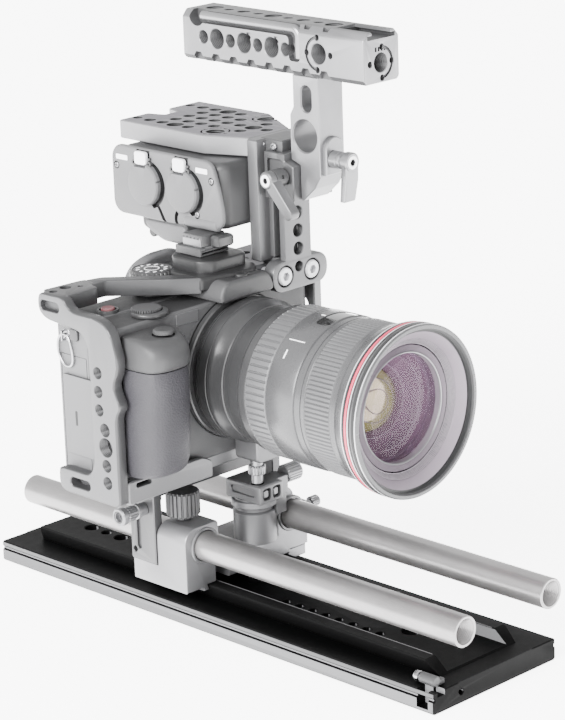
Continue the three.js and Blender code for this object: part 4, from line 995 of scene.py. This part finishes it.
def audio_panel():
    outline = [(30.5, 223.5), (26.6, 221.4), (22.6, 209), (20.4, 198.5), (20.8, 192.4), (25, 189.9),
               (46, 189), (60, 188.3), (95.6, 188.3), (99.6, 192.3), (99.6, 219.2), (95.4, 223.6)]
    panel = slab("x", soften(outline, 3, 4), 1, 4.2, 1.2, 4)
    roll = slab("y", rounded(0.1, 6, 188.6, 194.9, 2.9), 24.6, 47.6, 1.2, 4)
    tools = [block(0, 2.1, y - 3.4, y + 6.2, z + 9.2, z + 16.8, edge=0) for _, y, z in AUDIO_INPUTS]
    for _, y, z in AUDIO_INPUTS:
        crescent = arc(y - 1.3, z - 0.2, 12.3, 92, 254, 24) + arc(y + 0.6, z, 11.2, 250, 98, 24)
        tools.append(slab("x", crescent, 0, 3.4))
    tools.append(slab("x", annular(48.3, 191.4, 4.1, 6.3, -48, 42), -2, 3.4))
    trench = [(69, 198), (66, 194), (63.6, 189.6), (61, 187), (58.6, 187), (61.4, 190), (64, 194.4),
              (66.8, 198.6)]
    tools.append(slab("x", soften(trench, 0.8), 0, 3))
    tools += [bore("x", spot, 2.0, 0.2, 1.8, 0.2, through=False) for spot in PANEL_SCREWS]
    # The crescents, trench and screw wells take DARK: painted shade in the recesses.
    piece(cut(join(panel, roll), [inside(tool) for tool in tools]), "audio_panel_skin", "audio_unit_panel",
          PANEL, DARK)
    labels = [slab("x", rounded(87.4, 95.8, 216.1, 218.7, 0.4), 0.75, 1.3, 0.1),
              slab("x", rounded(29.6, 37.8, 217, 219.6, 0.4), 0.75, 1.3, 0.1)]
    trim(merge(labels), "audio_labels", "audio_unit_panel", WHITE)
    screws = []
    for y, z in PANEL_SCREWS:
        head = turned("x", (y, z), [(0, 0.7), (1.1, 0.7), (1.4, 0.9), (1.4, 1.9), (0, 1.9)], 32)
        cross = [slab("x", rectangle(y - a, y + a, z - b, z + b), 0.5, 1.2)
                 for a, b in ((0.9, 0.25), (0.25, 0.9))]
        screws.append(cut(head, cross))
    trim(merge(screws), "audio_screws", "audio_unit_panel", SILVER)


def audio_inputs():
    for end, y, z in AUDIO_INPUTS:
        cap = turned("x", (y, z), [(0, -2.2), (9.2, -2.2), (10.2, -1.9), (10.8, -1.1), (10.9, 0.7),
                                   (0, 0.7)], 96)
        notches = [slab("x", rectangle(y - 11.6, y - 10, z - 0.5 + dz, z + 0.5 + dz), -3, 1)
                   for dz in (-4.5, 2.5)]
        hinge = slab("x", rectangle(y - 3, y + 7, z + 8.6, z + 12), -3, 1)
        # The cap takes PANEL, the case plastic with painted light.
        piece(cut(cap, notches, hinge), f"xlr_cap_{end}_skin", f"xlr_cap_{end}", PANEL)
        u = y + 1.4
        outline = [(u - 4.1, z + 10.6), (u - 3, z + 9.8), (u + 3, z + 9.8), (u + 4.1, z + 10.6),
                   (u + 4.1, z + 15.6), (u + 3.2, z + 16.4), (u - 3.2, z + 16.4), (u - 4.1, z + 15.6)]
        tab = slab("x", soften(outline, 1, 3), -1.6, 0.7, 0.6, 3)
        piece(tab, f"xlr_tab_{end}_skin", f"xlr_tab_{end}", WHITE)
        lugs = [merge(turned("x", (u + side * 5.4, z + 10.4),
                             [(0.7, -0.6), (1.5, -0.6), (1.5, 1.4), (0.7, 1.4)], 32, ring=True),
                      cylinder("x", (u + side * 5.4, z + 12.9), 0.8, -0.5, 1.4, 0.2, 24)) for side in (-1, 1)]
        trim(merge(lugs), f"xlr_lugs_{end}", "audio_unit_panel", TRIM)


def audio_foot():
    foot = join(block(-7.6, 7.6, 26, 40, 182.8, 188.4), block(-5.8, 5.8, 26.5, 39.5, 180.9, 183),
                block(-8, 8, 26.5, 41.5, 179.8, 181.1, edge=0.3))
    face = slab("y", rounded(-8.2, -5, 181.8, 187.6, 1.5), 27, 39.6, 0.6, 3)
    teeth = [slab("x", rectangle(y, y + 1.1, 186.6, 189), -9, -6) for y in (28, 30.6, 33.2, 35.8, 38.4)]
    piece(foot, "audio_foot_skin", "audio_foot", DARKGREY)
    trim(cut(face, teeth), "audio_foot_face", "audio_foot", SILVER)
    trim(knob("x", (76.5, 180.2), 2.6, 5.6, 10, 16, 0.4, 0.4), "audio_lock_knob", "audio_unit_body", AUDIO)
    trim(block(-3, 8, 19.6, 25.8, 182.2, 188, edge=1.2), "audio_lock_block", "audio_foot", TRIM)


audio_body()
audio_panel()
audio_inputs()
audio_foot()


# ------------------------------------------------------------------ bracket post and cheese plate

def bracket_post():
    x = 37.2
    foot = slab("y", rounded(18.9, 57.2, 156.6, 172, 6.8, 8), 5, 12, 0.7, 2)
    flange = block(28.2, 46.2, 5, 9, 170, 232, edge=0.6)
    web = block(34.2, 40.2, 8.5, 17, 170, 232)
    rear = block(21.6, 52.6, 16, 22.9, 171, 232, edge=0.8)
    heel = block(22.4, 54.4, 11.5, 31.7, 160.6, 166, edge=0.8)
    knee = block(30, 45, 11.5, 22.9, 165.5, 172)
    tools = []
    for bolt in (27.6, 46.2):
        tools.append(bore("y", (bolt, 164.3), 5.4, 5, 7.6, 0.35, through=False, sides=64))
        tools.append(cylinder("y", (bolt, 164.3), 2.9, 4, 33, 0))
    tools += [bore("y", (x, z), 3.2, 5, 13, 0.35, through=False, pitch=1.0) for z in (176.7, 185.9, 195)]
    tools.append(bore("y", (x, 167.6), 2.6, 5, 13, 0.3, through=False, pitch=1.0))
    body = cut(join(foot, flange, web, rear, heel, knee), tools)
    piece(body, "bracket_post_skin", "bracket_post", BRACKET, DARK)
    trim(block(28.6, 34, 13, 16.3, 172.4, 226, edge=0.6), "bracket_channel", "bracket_post", DARKGREY)
    # Painted shade: a dark skin on the web, the floor of the bracket's channel, for the shade that falls
    # there.
    trim(block(33.7, 40.6, 8.9, 16.4, 172.5, 231.5), "bracket_channel_floor_shade", "bracket_post", DARK)
    trim(block(28, 46.4, 4.8, 20, 225, 232.2, edge=0.6), "bracket_head", "bracket_post", DARKGREY)
    small = []
    for y, z in ((17.6, 229.6), (9.6, 229)):
        head = turned("x", (y, z), [(0, 26.4), (1.5, 26.4), (1.8, 26.7), (1.8, 28.2), (0, 28.2)], 40)
        small.append(cut(head, slab("x", hexagon(y, z, 1.7), 26, 27.4)))
    trim(merge(small), "bracket_small_screws", "bracket_post", STEEL)
    for side, bolt in (("left", 27.6), ("right", 46.2)):
        head = turned("y", (bolt, 164.3),
                      [(0, 4.4), (3.9, 4.4), (4.5, 5), (4.5, 7.55), (2.5, 7.55), (2.5, 30), (0, 30)], 64)
        socket = slab("y", hexagon(bolt, 164.3, 4), 3, 6.6)
        piece(cut(head, socket), f"bracket_screw_{side}_skin", f"bracket_screw_{side}", WHITESTEEL)


def cheese_plate():
    left, right, front, rear = 14.5, 70, 23.3, 107.5
    outline = [(left, 46.4), (23.9, front), (51.8, front), (right, 55.4), (right, rear), (48.5, rear),
               (46, 98), (37, 98), (34, rear), (left, rear)]
    plate = slab("z", soften(outline, 0.8, 2), 222.6, 232, 0.5)
    pins = [(24.8, 48), (60.4, 48)]
    wide = [(60.6, 76.5), (23.8, 76.5), (42.3, 38.9)]
    holes = []
    for row in range(9):
        for column in range(5):
            x, y = 23.8 + 9.2 * column, 29.5 + 9.3 * row
            near_edge = y < 30 and not 40 < x < 50
            near_notch = y > 90 and 30 < x < 53
            if not near_edge and not near_notch and all(math.hypot(x - u, y - v) > 12 for u, v in pins):
                radius = 2.6 if y > 100 else 3.2
                if any(math.hypot(x - u, y - v) < 1.5 for u, v in wide):
                    radius = 4.5
                holes.append(bore("z", (x, y), radius, 232, 222.6, 0.2, sides=36))
    for px, py in pins:
        holes.append(bore("z", (px, py), 4.8, 232, 222.6, 0.3, pitch=1.2, sides=40))
        for start in (20, 110, 200, 290):
            holes.append(inside(slab("z", annular(px, py, 6.6, 7.5, start, start + 50), 231, 233)))
        for angle in (0, 90, 180, 270):
            u, v = px + 7.1 * math.cos(math.radians(angle)), py + 7.1 * math.sin(math.radians(angle))
            holes.append(bore("z", (u, v), 1.1, 232, 229.5, 0.15, through=False, sides=20))
    piece(cut(plate, holes), "cheese_plate_skin", "cheese_plate", PLATE, DARK)


bracket_post()
cheese_plate()


# ------------------------------------------------------------------ handle clamp, levers and handle

def handle_clamp():
    x, outer = 37.2, 13.6
    bridge_solid = slab("x", soften([(-6.5, 204), (4.7, 204), (4.7, 227), (-0.4, 227), (-0.4, 223.6),
                                     (-6.5, 221.4)],
                                    0.8, 2), x - outer, x + outer, 0.5)
    arms = []
    for side in (-1, 1):
        arms.append(block(*sorted((x + side * 9.4, x + side * outer)), 4, 13, 204, 227))
        arms.append(block(*sorted((x + side * 5, x + side * outer)), 9.4, 13, 204, 227))
    recess = pocket("x", rounded(0.6, 11.4, 213.4, 223.8, 1.6), x - outer, x - outer + 2, 0.4)
    piece(cut(join(bridge_solid, arms), recess), "handle_clamp_skin", "handle_clamp", MID, DARK)


def clamp_levers():
    y, z = -0.6, 216.4
    hub = turned("x", (y, z), [(0, 10.6), (3.6, 10.6), (4.2, 11), (4.4, 11.4), (4.4, 14.4), (3.4, 14.8),
                               (3.4, 23.3), (0, 23.3)], 64)
    arm = slab("x", stadium((y, z), (-14.2, 201.6), 3.2, 2.9), 11, 16.8, 0.6, 3)
    lever = cut(join(hub, arm), inside(slab("x", hexagon(y, z, 2.6), 9, 13)))
    piece(lever, "clamp_lever_left_skin", "clamp_lever_left", GREY, DARK)
    ring = turned("x", (y, z), [(1.6, 10.45), (3.0, 10.45), (3.0, 12), (1.6, 12)], 48, ring=True)
    trim(ring, "clamp_lever_left_ring", "clamp_lever_left", WHITE)
    sleeve = turned("x", (y, z), [(3.4, 14.9), (4.3, 14.9), (4.5, 15.3), (4.5, 21.6), (4.1, 22), (3.4, 22)],
                    64, ring=True)
    sleeve = cut(sleeve, inside(cylinder("y", (18.6, z + 1.2), 0.9, -7, 0, 0)))
    trim(sleeve, "clamp_lever_left_sleeve", "clamp_lever_left", DARKGREY)
    x, z = 35.5, 225.6
    profile = [(0, -35.2), (4.2, -35.2), (4.9, -34.6), (4.9, -31.6), (4.3, -31), (3.6, -30.8), (3.6, -29.8),
               (4.2, -29.4), (4.3, -29), (4.3, -28), (3.9, -27.7), (3.9, -27.2), (4.3, -26.9), (4.3, -22.9),
               (0, -22.9)]
    arm = slab("y", soften([(x - 4.6, z), (x - 4.2, 217), (29.6, 206.7), (37.4, 206.7), (x + 4.4, 217),
                            (x + 4.6, z)], 0.8, 3),
               -34.8, -31.4, 0.7, 3)
    lever = cut(join(turned("y", (x, z), profile, 64), arm), inside(slab("y", hexagon(x, z, 2.9), -40, -33)))
    piece(lever, "clamp_lever_right_skin", "clamp_lever_right", SILVER, DARK)
    ring = turned("y", (x, z), [(1.8, -35.35), (3.2, -35.35), (3.2, -34), (1.8, -34)], 48, ring=True)
    trim(ring, "clamp_lever_right_ring", "clamp_lever_right", WHITE)


def handle_post():
    left, right = 28.4, 45.4
    outline = [(-20.3, 265.8), (-20.3, 217.5), (-16.4, 211.4), (-8.5, 204.4), (-6.9, 204.4), (-6.9, 221.7),
               (-0.8, 223.9), (-0.8, 246), (-3.2, 250), (-3.2, 265.8)]
    column = slab("x", soften(outline, 0.5, 3), left, right, 0.35)
    boss = slab("y", [(30.6, 218), (43, 218)] + arc(36.8, 230.2, 6.2, 0, 180, 24), -22.5, -19.3, 0.5)
    hole = inside(window("x", circle(-10.5, 236.4, 7.9, 72), left, right, 0.6))
    slot = inside(window("x", rounded(-15.4, -8.8, 248.4, 261, 3.2, 8), left, right, 0.6))
    piece(cut(join(column, boss), hole, slot), "handle_post_skin", "handle_post", LIGHT, GREY)


def locating_arcs(axis, cu, cv, radius, start, depth):
    """Cutters for the curved groove and the round sockets beside a locating hole."""
    way = 1 if depth > 0 else -1
    tools = [inside(slab(axis, annular(cu, cv, radius - 0.75, radius + 0.75, -82, 82),
                         *sorted((start - way, start + way))))]
    for angle in (-84, 0, 84, 180):
        u, v = cu + radius * math.cos(math.radians(angle)), cv + radius * math.sin(math.radians(angle))
        tools.append(bore(axis, (u, v), 1.5, start, start + depth, 0.2, through=False, sides=24))
    return tools


def top_handle():
    left, right, front, rear, bottom, top = 26, 50.5, -53, 70, 266, 290.6
    middle = (left + right) / 2
    outline = [(left, bottom + 1.2), (left + 1.2, bottom), (right - 1.2, bottom), (right, bottom + 1.2),
               (right, top - 3.4), (right - 3, top), (left + 3, top), (left, top - 3.4)]
    bar = slab("y", soften(outline, 0.6, 2), front, rear, 0.9, 2)
    # The chamfers along the bottom edges are cut with inside(), so they take HOLLOW: painted shade on the
    # faces that look down.
    tools = [inside(slab("y", [(x, bottom - 1), (x + side * 3.2, bottom - 1), (x, bottom + 2.6)], front - 1,
                         rear + 1))
             for x, side in ((left - 0.2, 1), (right + 0.2, -1))]
    for i in range(7):
        y, radius = 55.2 - 9.45 * i, 4.9 if i % 2 else 3.2
        tools.append(bore("x", (y, 278), radius, left, right, 0.35, pitch=1.1))
        if i in (3, 5):
            tools.append(slab("x", rectangle(y - 5.2, y - 2.2, 280.6, 283.6), left - 1, left + 1.4))
    for i in range(9):
        radius = (4.6, 2.6, 3.4, 2.6)[i % 4]
        tools.append(bore("z", (middle, 58.9 - 10.2 * i), radius, top, top - 6, 0.4, through=False,
                          pitch=1.1))
    tools.append(bore("x", (-23.5, 278.2), 4.9, left, right, 0.35, pitch=1.1, sides=48))
    tools += locating_arcs("x", -23.5, 278.2, 7.8, left, 3)
    x, z = middle - 0.4, 275.7
    tools.append(bore("y", (x, z), 4.6, front, front + 12, 0.35, through=False, pitch=1.1, sides=48))
    tools += locating_arcs("y", x, z, 7.4, front, 3)
    for k in (-2, -1, 0, 1):
        tools.append(inside(slab("y", rectangle(x + 2 * k, x + 2 * k + 1.2, z + 5.4, z + 7.6), front - 1,
                                 front + 0.9)))
    tools.append(inside(block(middle - 9.4, middle + 9.4, front - 1, -30, top - 3.6, top - 1.5, edge=0)))
    tools.append(block(middle - 6.4, middle + 6.4, front - 1, -30, top - 3.6, top + 1, edge=0))
    # The notches, scallops and key groove also take HOLLOW on their walls: painted shade.
    for i in range(8):
        y = 59 - 12.3 * i
        notch = [(y - 3.6, bottom - 1), (y + 3.6, bottom - 1), (y + 3.3, bottom + 2), (y + 1.8, bottom + 4.4),
                 (y - 1.8, bottom + 4.4), (y - 3.3, bottom + 2)]
        scallop = [(y - 3, top + 1), (y + 3, top + 1), (y + 1.6, top - 1.8), (y - 1.6, top - 1.8)]
        tools.append(inside(slab("x", notch, left - 1, left + 2.6)))
        tools.append(inside(slab("x", notch, right - 2.6, right + 1)))
        tools.append(inside(slab("x", scallop, right - 3.4, right + 1)))
        if -30 < y < 0:
            tools.append(inside(slab("x", scallop, left - 1, left + 3.4)))
    groove = [(62, 284.8), (-3.9, 284.8), (-3.9, 272.8), (-11.4, 272.8), (-11.4, 286), (-9, 292), (62, 292)]
    tools.append(inside(slab("x", soften(groove, 2.4, 5), left - 1, left + 3.4)))
    tools.append(inside(slab("x", circle(59.5, 288.4, 5.4, 32), left - 1, left + 6)))
    piece(cut(bar, tools), "top_handle_skin", "top_handle", LIGHT, HOLLOW)
    corner = arc(-5.4, 284.4, 3.8, 90, 180)
    route = [(left + 2.3, y, z) for y, z in [(57.4, 288.2)] + corner + [(-9.2, 274.4)]]
    bent_rod("top_handle_key", "top_handle", route, 2.1, SILVER)


def bent_rod(name, node, route, radius, material):
    """A round rod that follows a route."""
    curve = round_curve(name, radius)
    curve.use_fill_caps = True
    spline = curve.splines.new("POLY")
    spline.points.add(len(route) - 1)
    for point, place in zip(spline.points, route):
        point.co = (*(Vector(place) * MM), 1)
    curve_piece(curve, node, material)


handle_clamp()
clamp_levers()
handle_post()
top_handle()


# ------------------------------------------------------------------ floor, light and camera

def studio():
    size = 20
    mesh = bpy.data.meshes.new("floor")
    mesh.from_pydata([(-size, -size, 0), (size, -size, 0), (size, size, 0), (-size, size, 0)], [],
                     [(0, 1, 2, 3)])
    floor = bpy.data.objects.new("floor", mesh)
    SCENE.collection.objects.link(floor)
    paint = surface("floor_paint", (0.95, 0.95, 0.95), 0.8, 0.0, 2.0, 0.0, 0.002, edge=0, gloss=0.1)
    paint.node_tree.nodes["Principled BSDF"].inputs["Emission Color"].default_value = (1, 1, 1, 1)
    paint.node_tree.nodes["Principled BSDF"].inputs["Emission Strength"].default_value = 5.6
    mesh.materials.append(paint)

    world = bpy.data.worlds.new("studio")
    SCENE.world = world
    world.use_nodes = True
    world.node_tree.nodes["Background"].inputs["Color"].default_value = (1, 1, 1, 1)
    world.node_tree.nodes["Background"].inputs["Strength"].default_value = 1.8

    def lamp(kind, name, place, aim, **settings):
        data = bpy.data.lights.new(name, kind)
        for key, value in settings.items():
            setattr(data, key, value)
        light = bpy.data.objects.new(name, data)
        light.location = place
        light.rotation_mode = "QUATERNION"
        light.rotation_quaternion = (Vector(aim) - Vector(place)).to_track_quat("-Z", "Y")
        SCENE.collection.objects.link(light)

    lamp("SUN", "key", (-3.0, -0.3, 1.5), (0, 0, 0.12), energy=12, angle=math.radians(40))
    lamp("AREA", "highlight", (-1.1, -0.7, 1.1), (0, -0.05, 0.12), energy=16, shape="RECTANGLE", size=0.9,
         size_y=0.35)


def camera():
    azimuth, elevation, roll = math.radians(-44.42), math.radians(16.99), math.radians(-2.01)
    back = Vector((math.sin(azimuth) * math.cos(elevation), -math.cos(azimuth) * math.cos(elevation),
                   math.sin(elevation)))
    right = (-back).cross(Vector((0, 0, 1))).normalized()
    up = right.cross(-back)
    rolled_right = right * math.cos(roll) + up * math.sin(roll)
    rolled_up = -right * math.sin(roll) + up * math.cos(roll)
    target, distance = Vector((0.01881, 0.00027, 0.12453)), 1.3844
    data = bpy.data.cameras.new("camera")
    data.lens = 140.9
    data.sensor_width = 36
    data.clip_start, data.clip_end = 0.05, 60
    view = bpy.data.objects.new("camera", data)
    turn = Matrix((rolled_right, rolled_up, back)).transposed().to_4x4()
    view.matrix_world = Matrix.Translation(target + back * distance) @ turn
    SCENE.collection.objects.link(view)
    SCENE.camera = view


studio()
camera()
